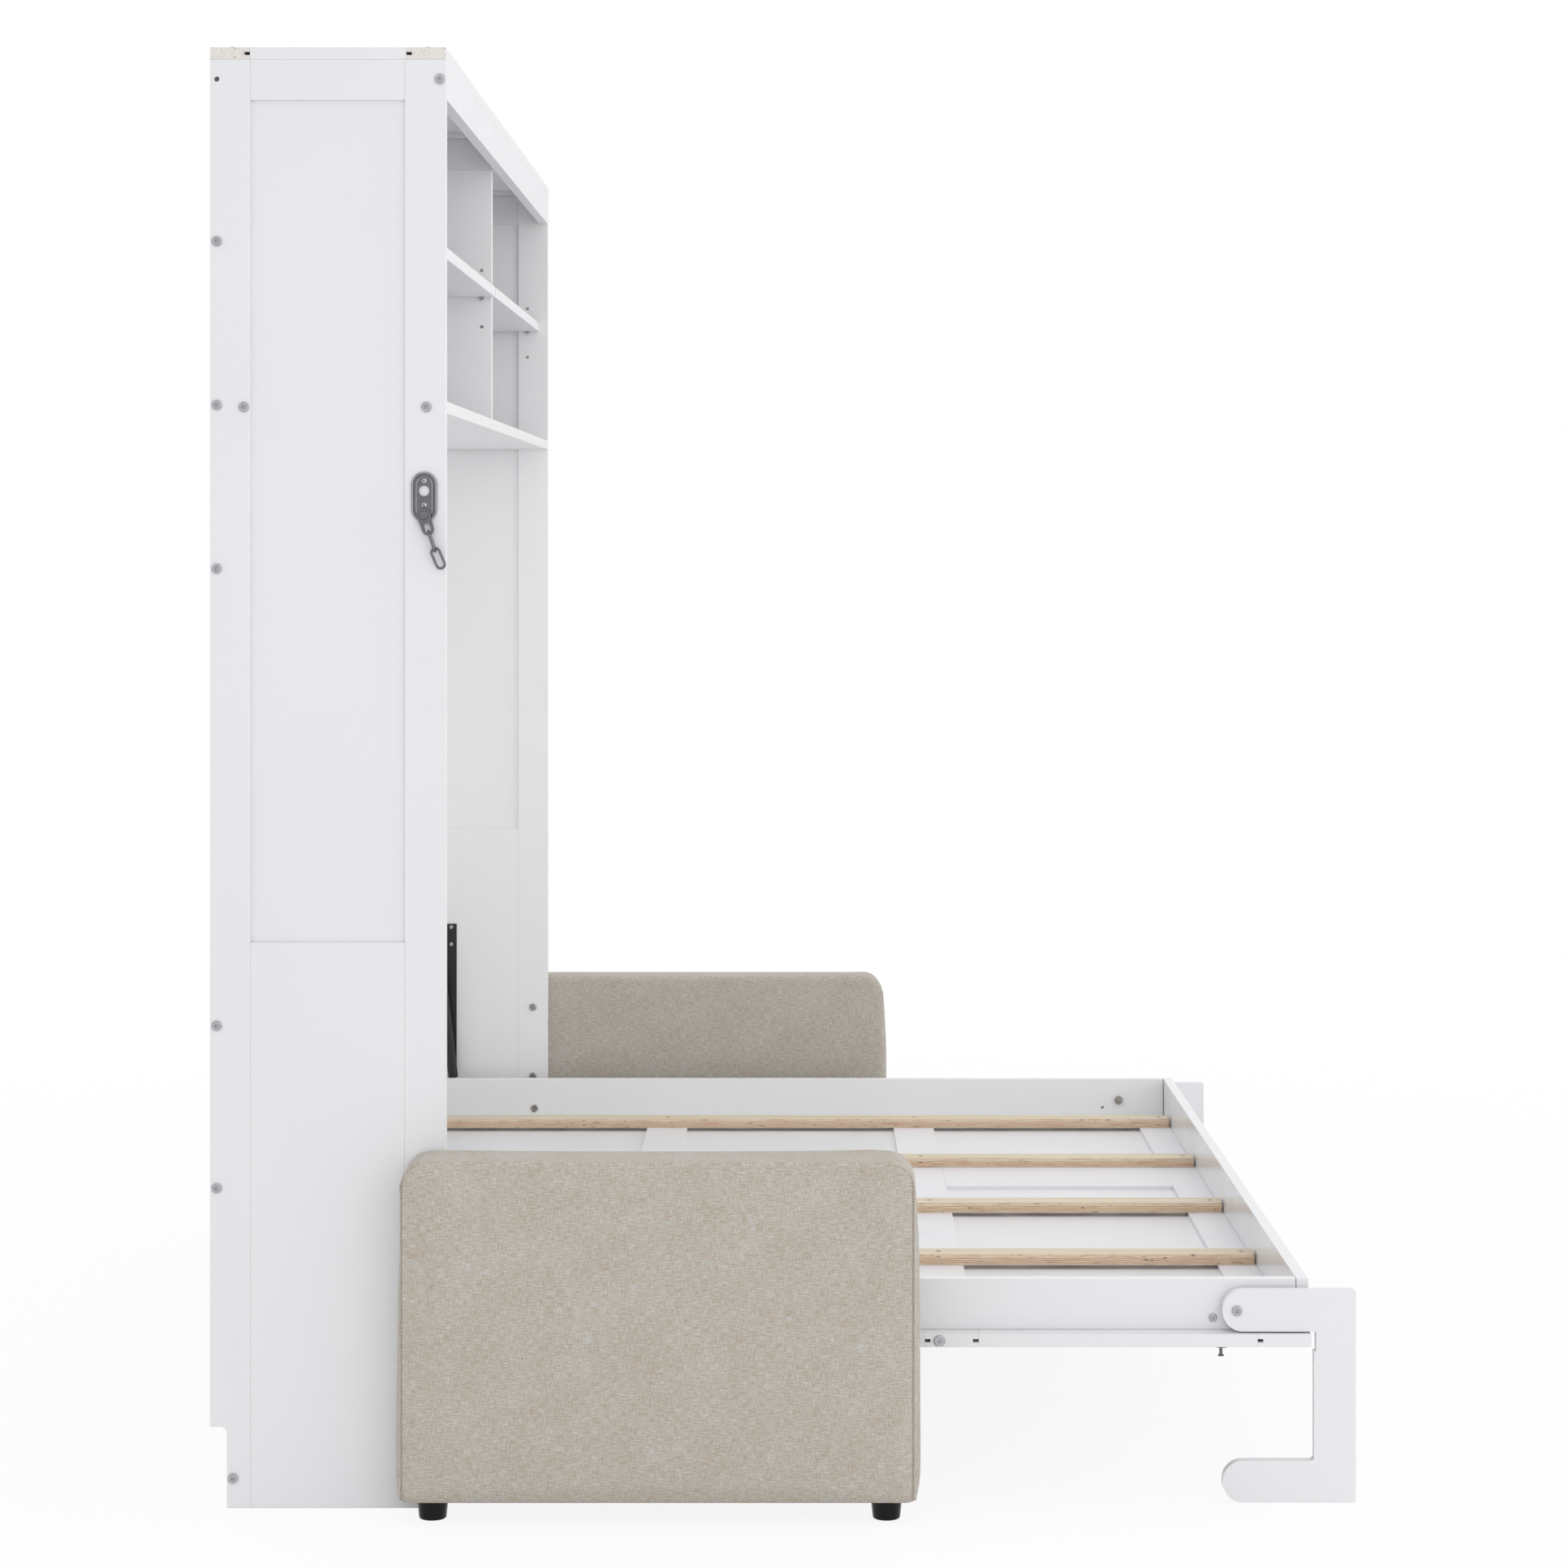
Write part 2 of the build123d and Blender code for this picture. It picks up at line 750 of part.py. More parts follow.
def panel_stiles():
    stiles = []
    for i, y in enumerate(stile_fronts):
        shape = eased(-ledge_outer, ledge_outer, y, y + panel_stile_width, panel_low, panel_high)
        if i > 0:
            shape = shape - stile_groove(y)
        if i < stile_count - 1:
            shape = shape - stile_groove(y + panel_stile_width - groove_depth)
        stiles.append(drilled(shape, slat_screw_bores + ledge_bores))
    return stiles


def panel_edges():
    x0 = ledge_outer - panel_edge_width
    edges = [eased(x0, ledge_outer, y0, y1, panel_low, panel_high) for y0, y1 in bays]
    edges = edges + [flipped(edge) for edge in edges]
    return [drilled(edge, [catch_bore]) for edge in edges]


def mullions():
    return [eased(mullion_low, mullion_low + mullion_width, y0, y1, panel_low, panel_high) for y0, y1 in bays]


def panel_fields():
    overlap = groove_depth - tongue_gap
    spans = [(panel_edge_width - ledge_outer, mullion_low),
             (mullion_low + mullion_width, ledge_outer - panel_edge_width)]
    return [block(x0, x1, y0 - overlap, y1 + overlap, panel_middle - groove_height / 2,
                  panel_middle + groove_height / 2) for x0, x1 in spans for y0, y1 in bays]


def slats():
    y0 = bed_y0 + board + slat_end_gap
    y1 = bed_y1 - board - slat_end_gap
    boards = [eased(x - slat_width / 2, x + slat_width / 2, y0, y1, panel_high, slat_high) for x in slat_xs]
    return [drilled(piece, slat_screw_bores) for piece in boards]


# Bolts of the bed: the legs' pivots, the stop beside each leg and one in the ledge's edge
ledge_bolt_y = stile_fronts[1] + ledge_bolt_offset
ledge_bore = rod_x(ledge_outer - ledge_bolt_length - 1, ledge_outer + 1, ledge_bolt_y, panel_middle,
                   bolt_shank_radius + bore_clearance)
ledge_bores = [ledge_bore, flipped(ledge_bore)]
stop_y = leg_pivot_y + stop_bolt_offset
stop_z = panel_high + board
stop_bore = rod_x(rail_inner - 1, rail_outer + 1, stop_y, stop_z, bolt_shank_radius + bore_clearance)
leg_inner = rail_outer + leg_washer
leg_outer = leg_inner + leg_board
leg_bolt_head = leg_outer + leg_play
leg_bolt_tip = rail_inner - leg_bolt_overrun


def leg_pivot():
    length = leg_bolt_head - leg_bolt_tip
    fixed = facing(leg_bolt_head, leg_pivot_y, leg_pivot_height, (1, 0, 0))
    pin = fixed * bolt(length, shank_radius=leg_bolt_radius)
    through = rod_x(leg_bolt_tip - 1, leg_bolt_head, leg_pivot_y, leg_pivot_height,
                    leg_bolt_radius + press_clearance)
    spacer = rod_x(rail_outer, leg_inner - leg_play, leg_pivot_y, leg_pivot_height, leg_spacer_radius)
    nut = rod_x(rail_inner - leg_nut_thickness, rail_inner, leg_pivot_y, leg_pivot_height,
                bolt_head_radius + leg_nut_lip)
    return [pin, spacer - through, nut - through]


def bed_bolts():
    stop = facing(rail_outer, stop_y, stop_z, (1, 0, 0))
    stop = stop * bolt(board - 2, head_radius=stop_bolt_head_radius)
    ledge = facing(ledge_outer, ledge_bolt_y, panel_middle, (1, 0, 0))
    ledge = ledge * bolt(ledge_bolt_length, ledge_bolt_head_radius, head_height=ledge_bolt_head_height)
    return [piece for part in leg_pivot() + [stop, ledge] for piece in both(part)]


def rail_bushing():
    bore = rod_x(rail_inner - 1, rail_outer + 1, pivot_y, pivot_height, pivot_pin_radius + running_clearance)
    return rod_x(rail_inner, rail_outer, pivot_y, pivot_height, bushing_radius) - bore


# Crank plates on the rails' outer faces, under the struts' feet
strut_foot_y = depth(strut_foot_depth)
crank_y0 = strut_foot_y - crank_length / 2 - crank_setback
crank_screw_ys = (crank_y0 + crank_screw_inset, crank_y0 + crank_length - crank_screw_inset)
crank_screw_places = [facing(rail_outer + plate_thickness, y, strut_foot_height + crank_screw_rise, (1, 0, 0))
                      for y in crank_screw_ys]
crank_screw_length = plate_thickness + board - screw_cover
crank_bores = [screw_bore(place, crank_screw_length) for place in crank_screw_places]


def crank_plate():
    middle = strut_foot_height + crank_rise
    shape = block(rail_outer, rail_outer + plate_thickness, crank_y0, crank_y0 + crank_length,
                  middle - crank_height / 2, middle + crank_height / 2)
    shape = fillet(shape.edges().filter_by(Axis.X), plate_corner)
    return drilled(shape, crank_bores)


def bed_screws():
    slat = [place * flat_screw(slat_screw_length) for place in slat_screw_places]
    crank = [place * screw(crank_screw_length) for place in crank_screw_places]
    return slat + [piece for part in crank for piece in both(part)]


# Catch for the chain's end ring, under the bed near its left edge
catch_x = catch_inboard - half_width
catch_y = bed_y0 + catch_setback
catch_bore = rod_z(catch_x, catch_y, panel_low - 1, panel_low + catch_screw_length + 1,
                   screw_shank_radius + bore_clearance)


def chain_catch():
    low = panel_low - catch_height
    base = rod_z(catch_x, catch_y, panel_low - catch_base, panel_low, catch_base_radius)
    stem = rod_z(catch_x, catch_y, low, panel_low, catch_stem_radius)
    head = rod_z(catch_x, catch_y, low - catch_base, low, catch_head_radius)
    shank = rod_z(catch_x, catch_y, panel_low, panel_low + catch_screw_length, screw_shank_radius)
    return base + stem + head + shank


# Legs: a board bent round three sides of a square, open towards the wall
def leg():
    y_back = reach(leg_front_reach)
    y_end = reach(bed_reach - leg_setback)
    top = leg_pivot_height + leg_width / 2
    outline = block(leg_inner, leg_outer, y_back, y_end, 0, top)
    y_mouth = y_back + leg_width
    mouth = block(leg_inner - 1, leg_outer + 1, y_mouth, y_end + 1, leg_width, top - leg_width)
    mouth = fillet(mouth.edges().filter_by(Axis.X).group_by(Axis.Y)[0], leg_panel_gap)
    shape = outline - mouth
    below, above = leg_ledge_relief
    relief = block(leg_inner - 1, leg_outer + 1, y_mouth - leg_relief, y_mouth + 1, panel_low - below,
                   panel_high + above)
    shape = shape - relief
    ends = shape.edges().filter_by(Axis.X).group_by(Axis.Y)[-1]
    shape = fillet(ends, leg_width / 2 - leg_end_flat)
    corners = shape.edges().filter_by(Axis.X).group_by(Axis.Y)[0]
    shape = fillet(corners, leg_corner)
    bore = rod_x(leg_inner - 1, leg_outer + 1, leg_pivot_y, leg_pivot_height,
                 leg_bolt_radius + running_clearance)
    return shape - bore


# Gas struts along the line from their upper stud to their foot
strut_run = (strut_foot_depth - strut_top_depth, strut_foot_height - strut_top_height)
strut_length = math.hypot(*strut_run)
strut_place = Plane(origin=(strut_x, depth(strut_top_depth), strut_top_height), x_dir=(1, 0, 0),
                    z_dir=(0, strut_run[0] / strut_length, strut_run[1] / strut_length)).location
tube_end = strut_length - eye_gap - foot_socket
bore_start = eye_gap + tube_cap


def eye():
    return Rot(0, 90, 0) * Cylinder(eye_radius, eye_thickness)


def strut_cylinder():
    outer = Pos(0, 0, eye_gap) * Cylinder(tube_radius, tube_end - eye_gap, align=plain)
    outer = fillet(outer.edges(), tube_fillet)
    bore_length = tube_end - guide_height - bore_start
    bore = Pos(0, 0, bore_start) * Cylinder(tube_bore_radius, bore_length, align=plain)
    guide = Pos(0, 0, bore_start) * Cylinder(rod_radius + running_clearance, strut_length, align=plain)
    neck = Cylinder(neck_radius, eye_gap + 1, align=plain)
    body = eye() + neck + outer - bore - guide
    return strut_place * (body - Rot(0, 90, 0) * Cylinder(stud_radius + running_clearance, 2 * eye_thickness))


def strut_rod():
    end = strut_length
    rod = Pos(0, 0, piston_rest) * Cylinder(rod_radius, end - piston_rest - rod_end_gap, align=plain)
    piston = Cylinder(tube_bore_radius - piston_clearance, piston_height, align=plain)
    piston = Pos(0, 0, piston_rest) * piston
    foot_eye = Pos(0, 0, end) * eye()
    rail_side = rail_outer + plate_thickness + stud_stop_gap - strut_x
    stud_length = eye_thickness / 2 + foot_stud_overrun - rail_side
    stud = Pos(rail_side, 0, end) * Rot(0, 90, 0) * Cylinder(stud_radius, stud_length, align=plain)
    return strut_place * (rod + piston + foot_eye + stud)


# Chain guard, modelled on the left side
def guard_at(shape):
    origin = (-half_width, depth(guard_depth), guard_height)
    return Plane(origin=origin, x_dir=(0, -1, 0), z_dir=(-1, 0, 0)) * shape


def guard_plate():
    outline = SlotOverall(guard_length, guard_width, rotation=90)
    inner = SlotOverall(guard_length - 2 * guard_rim, guard_width - 2 * guard_rim, rotation=90)
    middle = SlotOverall(guard_length - 2 * guard_rib_inset, guard_width - 2 * guard_rib_inset, rotation=90)
    plate = extrude(outline, guard_thickness - guard_rib)
    rim = extrude(outline - inner, guard_thickness)
    rib = extrude(middle, guard_thickness)
    plate = plate + rim + rib
    plate = plate - Pos(0, guard_hole_rise, 0) * Cylinder(guard_hole_radius, 20)
    for rise in guard_screw_rises:
        plate = plate - Pos(0, rise, 0) * Cylinder(screw_shank_radius + bore_clearance, 20)
    place = Pos(0, -rivet_drop, 0)
    spacer_height = guard_thickness + rivet_standoff
    spacer = place * Cylinder(rivet_head_radius - rivet_spacer_lip, spacer_height, align=plain)
    shaft_length = guard_thickness + rivet_standoff + hanger_thickness + 2 * rivet_play + rivet_head_sink
    shaft = place * Cylinder(rivet_radius, shaft_length, align=plain)
    head = place * Pos(0, 0, shaft_length - rivet_head_sink)
    head = head * Cylinder(rivet_head_radius, rivet_head_height, align=plain)
    head = fillet(head.edges().group_by(Axis.Z)[-1], rivet_head_fillet)
    return guard_at(plate + spacer + shaft + head)


guard_screw_length = guard_thickness + board - guard_screw_cover
guard_screw_places = [Pos(0, rise, guard_thickness) for rise in guard_screw_rises]
guard_bores = [guard_at(screw_bore(place, guard_screw_length)) for place in guard_screw_places]


def guard_screws():
    return [guard_at(place * screw(guard_screw_length)) for place in guard_screw_places]


rivet_point = (-chain_x, depth(guard_depth), guard_height - rivet_drop)


def chain_step(point, tilt, length):
    angle = math.radians(tilt)
    return (point[0], point[1] - length * math.sin(angle), point[2] - length * math.cos(angle))


# A chain piece hangs down its own -Y from its pivot and lies in its own XY plane, facing left
def hung(shape, point, tilt):
    angle = math.radians(tilt)
    return Plane(origin=point, x_dir=(0, -math.cos(angle), math.sin(angle)), z_dir=(-1, 0, 0)) * shape


hanger_wire = hanger_length - hanger_tip
hinge_wire = chain_step(rivet_point, hanger_tilt, hanger_wire - link_wire - link_play)
ring_pivot = chain_step(hinge_wire, link_tilts[0], link_length - 2 * link_wire)


def chain_hanger():
    top = Circle(hanger_width / 2)
    tip_radius = hanger_width / 2 - hanger_tip_narrowing
    tip = Pos(0, tip_radius - hanger_length) * Circle(tip_radius)
    face = make_hull(top.edges() + tip.edges())
    slot_centre = -hanger_wire + hanger_slot_length / 2
    slot = Pos(0, slot_centre) * SlotOverall(hanger_slot_length, hanger_slot_width, rotation=90)
    bore = Circle(rivet_radius + running_clearance)
    shape = extrude(face - slot - bore, hanger_thickness / 2, both=True)
    return hung(shape, rivet_point, hanger_tilt)


# A chain ring whose upper wire is centred on its own origin
def ring():
    half = (link_length - link_width) / 2
    straight = link_width / 2 - link_wire
    path = SlotCenterToCenter(2 * half, 2 * straight, rotation=90).wire()
    start = path.location_at(0)
    body = sweep(Plane(origin=start.position, z_dir=path.tangent_at(0)) * Circle(link_wire), path=path)
    return Pos(0, -link_length / 2 + link_wire) * body


def chain_link():
    return hung(Rot(0, 90, 0) * ring(), hinge_wire, link_tilts[0])


def chain_ring():
    lifted = Pos(0, 2 * link_wire + link_play) * ring()
    return hung(lifted, ring_pivot, link_tilts[1])


def main():
    os.makedirs("parts", exist_ok=True)
    guarded = drilled(flipped(front_stile()), guard_bores)
    save("front_stile_left", guarded)
    save("front_stile_right", front_stile())
    save_pair("rear_stile", rear_stile())
    save("side_top_rails", *both(side_top_rail()))
    save_pair("upper_field", upper_field())
    save_pair("lower_field", lower_field())
    save("top_front_boards", *top_halves(depth(0), depth(top_stile_width), "front"))
    save("top_rear_boards", *top_halves(depth(cabinet_depth - top_stile_width), wall_y, "rear"))
    save("top_rails", *top_rails())
    save("top_fields", *top_fields())
    save("fascia", fascia())
    save("centre_top_rail", centre_top_rail())
    save("back_panels", *back_panels())
    save("mid_rear_rail", rear_board(mid_rail_low, mid_rail_height, wall_y))
    save("lower_back_board", rear_board(lower_board_low, lower_board_height, wall_y))
    save("floor_rear_rail", rear_board(0, floor_rail_height, depth(cabinet_depth - skirting_depth)))
    save("divider", divider())
    save("lower_shelf", lower_shelf())
    save_pair("upper_shelf", upper_shelf())
    save("shelf_pins", *shelf_pins())
    save("lift_channels", *both(lift_channel()))
    save("pivot_plates", *both(pivot_plate()))
    side_places = [facing(half_width, depth(d), z, (1, 0, 0)) for d, z in side_bolts]
    arm_places = [facing(side_inner, depth(arm_bolt_depth), z, (-1, 0, 0)) for z in arm_bolt_heights]
    seat_places = [facing(side_inner, reach(r), seat_bolt_height, (-1, 0, 0)) for r in seat_bolt_reaches]
    bolts = [place * bolt(bolt_length) for place in side_places]
    bolts += [place * bolt(arm_bolt_length) for place in arm_places + seat_places]
    bolts.append(strut_stud())
    save("cabinet_bolts", *[piece for part in bolts for piece in both(part)])
    screws = [place * screw() for place in top_screws]
    screws += [place * screw(pivot_screw_length) for place in pivot_screws]
    screws += [place * screw(channel_screw_length) for place in channel_screws]
    save("cabinet_screws", *([piece for part in screws for piece in both(part)] + guard_screws()))
    save("guard_plate", guard_plate())
    save("chain_hanger", chain_hanger())
    save("chain_link", chain_link())
    save("chain_ring", chain_ring())
    save("arm_frames", *[piece for part in arm_frame() for piece in both(part)])
    save_pair("arm", arm_body())
    save("arm_feet", *[piece for x, y in feet for piece in both(arm_foot(x, y))])
    save("seat_frame", *seat_frame())
    save("seat_deck", seat_deck())
    save("seat_pad", seat_pad())
    save("seat_feet", *seat_feet())
    save_pair("bed_rail", bed_rail())
    save("footboard", end_board(bed_y0))
    save("rear_board", end_board(bed_y1 - board))
    save("panel_stiles", *panel_stiles())
    save("panel_edges", *panel_edges())
    save("panel_mullions", *mullions())
    save("panel_fields", *panel_fields())
    save("slats", *slats())
    save("bed_bolts", *bed_bolts())
    save("bed_screws", *bed_screws())
    save("rail_bushings", *both(rail_bushing()))
    save("crank_plates", *both(crank_plate()))
    save("chain_catch", chain_catch())
    save_pair("leg", leg())
    save_pair("strut_cylinder", strut_cylinder())
    save_pair("strut_rod", strut_rod())


main()
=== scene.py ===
import bpy
import bmesh
import json
import math
from mathutils import Matrix, Vector
from mathutils.bvhtree import BVHTree


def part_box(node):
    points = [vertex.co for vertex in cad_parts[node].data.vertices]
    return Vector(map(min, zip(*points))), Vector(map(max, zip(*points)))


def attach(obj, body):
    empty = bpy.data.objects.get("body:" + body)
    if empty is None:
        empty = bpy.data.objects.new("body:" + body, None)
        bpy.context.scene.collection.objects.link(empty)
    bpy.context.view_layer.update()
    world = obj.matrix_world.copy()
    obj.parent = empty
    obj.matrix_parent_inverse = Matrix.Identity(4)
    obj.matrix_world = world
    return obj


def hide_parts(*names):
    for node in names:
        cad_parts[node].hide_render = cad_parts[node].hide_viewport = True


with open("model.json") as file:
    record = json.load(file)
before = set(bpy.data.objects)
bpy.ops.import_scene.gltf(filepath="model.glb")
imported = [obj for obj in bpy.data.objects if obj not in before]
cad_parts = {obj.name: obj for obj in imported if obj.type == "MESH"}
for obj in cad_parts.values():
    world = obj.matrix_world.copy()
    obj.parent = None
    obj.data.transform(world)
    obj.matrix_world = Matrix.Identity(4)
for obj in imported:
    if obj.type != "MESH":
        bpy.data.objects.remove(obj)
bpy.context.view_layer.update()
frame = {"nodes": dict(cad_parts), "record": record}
nodes = frame["nodes"]
scene = bpy.context.scene
print("frame loaded with", len(nodes), "nodes")


# Material helpers: a socket given as a value is linked, anything else is set
def addNode(tree, kind, inputs=None, **props):
    made = tree.nodes.new(kind)
    for key, value in props.items():
        setattr(made, key, value)
    for key, value in (inputs or {}).items():
        if isinstance(value, bpy.types.NodeSocket):
            tree.links.new(value, made.inputs[key])
        else:
            made.inputs[key].default_value = value
    return made


def newMaterial(name, **values):
    mat = bpy.data.materials.new(name)
    mat.use_nodes = True
    tree = mat.node_tree
    shader = tree.nodes["Principled BSDF"]
    for key, value in values.items():
        shader.inputs[key.replace("_", " ")].default_value = value
    return mat, tree, shader


def stretchOf(tree, vector, scale):
    return addNode(tree, "ShaderNodeMapping", {"Vector": vector, "Scale": scale}).outputs["Vector"]


def objectCoords(tree, scale=(1, 1, 1)):
    return stretchOf(tree, addNode(tree, "ShaderNodeTexCoord").outputs["Object"], scale)


def noiseOf(tree, vector, scale, detail=3.0, roughness=0.5):
    inputs = {"Vector": vector, "Scale": scale, "Detail": detail, "Roughness": roughness}
    return addNode(tree, "ShaderNodeTexNoise", inputs).outputs["Fac"]


def mathOf(tree, operation, a, b=0.0):
    return addNode(tree, "ShaderNodeMath", {0: a, 1: b}, operation=operation).outputs[0]


def rampOf(tree, value, stops):
    made = addNode(tree, "ShaderNodeValToRGB", {"Fac": value})
    ramp = made.color_ramp
    while len(ramp.elements) < len(stops):
        ramp.elements.new(0.5)
    for element, (place, color) in zip(ramp.elements, stops):
        element.position = place
        element.color = (*color, 1)
    return made.outputs["Color"]


def greyRamp(tree, value, low, high, start=0.3, end=0.7):
    return rampOf(tree, value, [(start, (low,) * 3), (end, (high,) * 3)])


def mixColor(tree, factor, a, b):
    made = addNode(tree, "ShaderNodeMix", data_type="RGBA")
    for key, value in ((0, factor), (6, a), (7, b)):
        if isinstance(value, bpy.types.NodeSocket):
            tree.links.new(value, made.inputs[key])
        else:
            made.inputs[key].default_value = value if key == 0 else (*value, 1)
    return made.outputs[2]


def bumpOf(tree, shader, height, strength, distance, under=None):
    inputs = {"Height": height, "Strength": strength, "Distance": distance}
    if under is not None:
        inputs["Normal"] = under
    made = addNode(tree, "ShaderNodeBump", inputs).outputs["Normal"]
    tree.links.new(made, shader.inputs["Normal"])
    return made


def bandMask(tree, value, low, high):
    above = mathOf(tree, "GREATER_THAN", value, low)
    return mathOf(tree, "MULTIPLY", above, mathOf(tree, "LESS_THAN", value, high))


def partsOf(tree, vector):
    return addNode(tree, "ShaderNodeSeparateXYZ", {0: vector}).outputs


def scaled(tone, factor):
    return tuple(v * factor for v in tone)


# Flecks of one tone where a noise passes the two stops, s["share"] of it at most
def speckled(tree, under, noise, s, where=1.0):
    flecks = mathOf(tree, "MULTIPLY", greyRamp(tree, noise, 0.0, s["share"], *s["stops"]), where)
    return mixColor(tree, flecks, under, s["tone"])


# Camera: far away along the wall, level with the shelves
cameraSet = {"place": (-6.625, -0.0305, 1.430), "turn": (90, 0, -90), "pixelWidth": 1932,
             "focalPixels": 4602.5, "axisPixel": (992, 666.5), "sensor": 36.0, "clipEnd": 60}
cam = bpy.data.objects.new("camera", bpy.data.cameras.new("camera"))
scene.collection.objects.link(cam)
cam.data.sensor_width = cameraSet["sensor"]
cam.data.lens = cameraSet["sensor"] * cameraSet["focalPixels"] / cameraSet["pixelWidth"]
cam.data.shift_x = 0.5 - cameraSet["axisPixel"][0] / cameraSet["pixelWidth"]
cam.data.shift_y = cameraSet["axisPixel"][1] / cameraSet["pixelWidth"] - 0.5
cam.data.clip_end = cameraSet["clipEnd"]
cam.location = cameraSet["place"]
cam.rotation_euler = [math.radians(angle) for angle in cameraSet["turn"]]
scene.camera = cam
scene.view_settings.view_transform = "Standard"
print("camera set")

# Studio: white world behind, three large soft lamps (place, target, size, power)
studio = {"ambient": 0.90, "white": (1, 1, 1, 1),
          "lamps": {"side": ((-5.6, -1.4, 1.8), (0, 0, 0.8), 3.2, 29),
                    "front": ((-0.8, -5.2, 2.6), (0, 0, 0.8), 3.4, 44),
                    "top": ((0.6, 0.2, 5.4), (0, 0, 0.4), 3.6, 12)}}
world = bpy.data.worlds.new("studio")
scene.world = world
world.use_nodes = True
tree = world.node_tree
tree.nodes.clear()
path = addNode(tree, "ShaderNodeLightPath").outputs
seen = mathOf(tree, "MAXIMUM", path["Is Camera Ray"], path["Is Transmission Ray"])
seen = mathOf(tree, "MAXIMUM", seen, path["Is Glossy Ray"])
ambient = addNode(tree, "ShaderNodeBackground",
                  {"Color": studio["white"], "Strength": studio["ambient"]})
backdrop = addNode(tree, "ShaderNodeBackground", {"Color": studio["white"], "Strength": 1.0})
both = addNode(tree, "ShaderNodeMixShader",
               {0: seen, 1: ambient.outputs[0], 2: backdrop.outputs[0]})
addNode(tree, "ShaderNodeOutputWorld", {"Surface": both.outputs[0]})
for name, (place, target, size, power) in studio["lamps"].items():
    lamp = bpy.data.objects.new(name + "Lamp", bpy.data.lights.new(name + "Lamp", "AREA"))
    lamp.data.size = size
    lamp.data.energy = power
    lamp.location = place
    lamp.rotation_euler = (Vector(target) - Vector(place)).to_track_quat("-Z", "Y").to_euler()
    scene.collection.objects.link(lamp)

# Pale floor, which fades to the white of the world
floorSet = {"tone": 0.92, "spread": 0.01, "grain": 3.0, "rough": 0.7, "seen": 0.89,
            "fade": (1.8, 4.5), "size": 14, "cells": 4, "drop": 0.0005}
floorMat, tree, shader = newMaterial("floorWhite", Roughness=floorSet["rough"])
path = addNode(tree, "ShaderNodeLightPath").outputs
place = objectCoords(tree)
tone, spread = floorSet["tone"], floorSet["spread"]
grain = noiseOf(tree, place, floorSet["grain"])
tree.links.new(greyRamp(tree, grain, tone - spread, tone + spread), shader.inputs["Base Color"])
glow = addNode(tree, "ShaderNodeEmission", {"Color": studio["white"], "Strength": 1.0})
away = addNode(tree, "ShaderNodeVectorMath", {0: place}, operation="LENGTH").outputs["Value"]
fadeFrom, fadeTo = floorSet["fade"]
fade = addNode(tree, "ShaderNodeMapRange", {"Value": away, "From Min": fadeFrom, "From Max": fadeTo,
                                            "To Min": floorSet["seen"], "To Max": 1.0})
seen = mathOf(tree, "MAXIMUM", path["Is Camera Ray"], path["Is Glossy Ray"])
share = mathOf(tree, "MULTIPLY", seen, fade.outputs["Result"])
mixed = addNode(tree, "ShaderNodeMixShader", {0: share, 1: shader.outputs[0], 2: glow.outputs[0]})
tree.links.new(mixed.outputs[0], tree.nodes["Material Output"].inputs["Surface"])
mesh = bpy.data.meshes.new("floor")
bm = bmesh.new()
bmesh.ops.create_grid(bm, x_segments=floorSet["cells"], y_segments=floorSet["cells"],
                      size=floorSet["size"], matrix=Matrix.Translation((0, 0, -floorSet["drop"])))
bm.to_mesh(mesh)
bm.free()
floor = bpy.data.objects.new("floor", mesh)
floor.data.materials.append(floorMat)
scene.collection.objects.link(floor)
print("studio set")


# Painted shade: colour darkened by ambient occlusion in sockets, joints, grooves and under heads
def paintedCreaseShade(tree, tone, dark, s):
    openness = addNode(tree, "ShaderNodeAmbientOcclusion", {"Distance": s["reach"]},
                       samples=s["samples"])
    shade = greyRamp(tree, openness.outputs["AO"], s["most"], 0.0, *s["open"])
    return mixColor(tree, shade, tone, dark)


# White lacquer, glossy enough to mirror the slats softly
# Its inside tone is painted light, lighter than the outer paint to lift the shaded faces inside the
# cabinet
lacquerSet = {"tone": (0.80, 0.805, 0.825), "inside": (0.865, 0.865, 0.875),
              "satin": 0.38, "gloss": 0.2,
              "cloudScale": 2.3, "cloudStops": (0.35, 0.65), "cloudTone": 0.985,
              # The dark tone after the roughness values is painted shade for joints, grooves and
              # corners
              "roughScale": 14.0, "roughSpread": 0.15, "creaseShade": (0.22, 0.16, 0.12),
              "crease": {"reach": 0.004, "samples": 6, "open": (0.12, 0.47), "most": 0.7},
              "wave": {"scale": 9.0, "strength": 0.12, "distance": 0.0012},
              "peel": {"scale": 420.0, "distance": 0.0002}}


def lacquer(name, tone, gloss, bump=0.05, shine=0.3):
    s = lacquerSet
    mat, tree, shader = newMaterial(name, IOR=1.5, Specular_IOR_Level=shine)
    coords = objectCoords(tree)
    cloud = noiseOf(tree, coords, s["cloudScale"], detail=2.0)
    start, end = s["cloudStops"]
    painted = rampOf(tree, cloud, [(start, scaled(tone, s["cloudTone"])), (end, tone)])
    # Painted shade in joints, grooves and corners
    painted = paintedCreaseShade(tree, painted, s["creaseShade"], s["crease"])
    tree.links.new(painted, shader.inputs["Base Color"])
    rough = noiseOf(tree, coords, s["roughScale"], detail=4.0)
    rough = greyRamp(tree, rough, gloss * (1 - s["roughSpread"]), gloss * (1 + s["roughSpread"]))
    tree.links.new(rough, shader.inputs["Roughness"])
    peel = noiseOf(tree, coords, s["peel"]["scale"], detail=2.0)
    wave = noiseOf(tree, coords, s["wave"]["scale"], detail=1.0)
    under = bumpOf(tree, shader, wave, s["wave"]["strength"], s["wave"]["distance"])
    bumpOf(tree, shader, peel, bump, s["peel"]["distance"], under)
    return mat, tree, shader


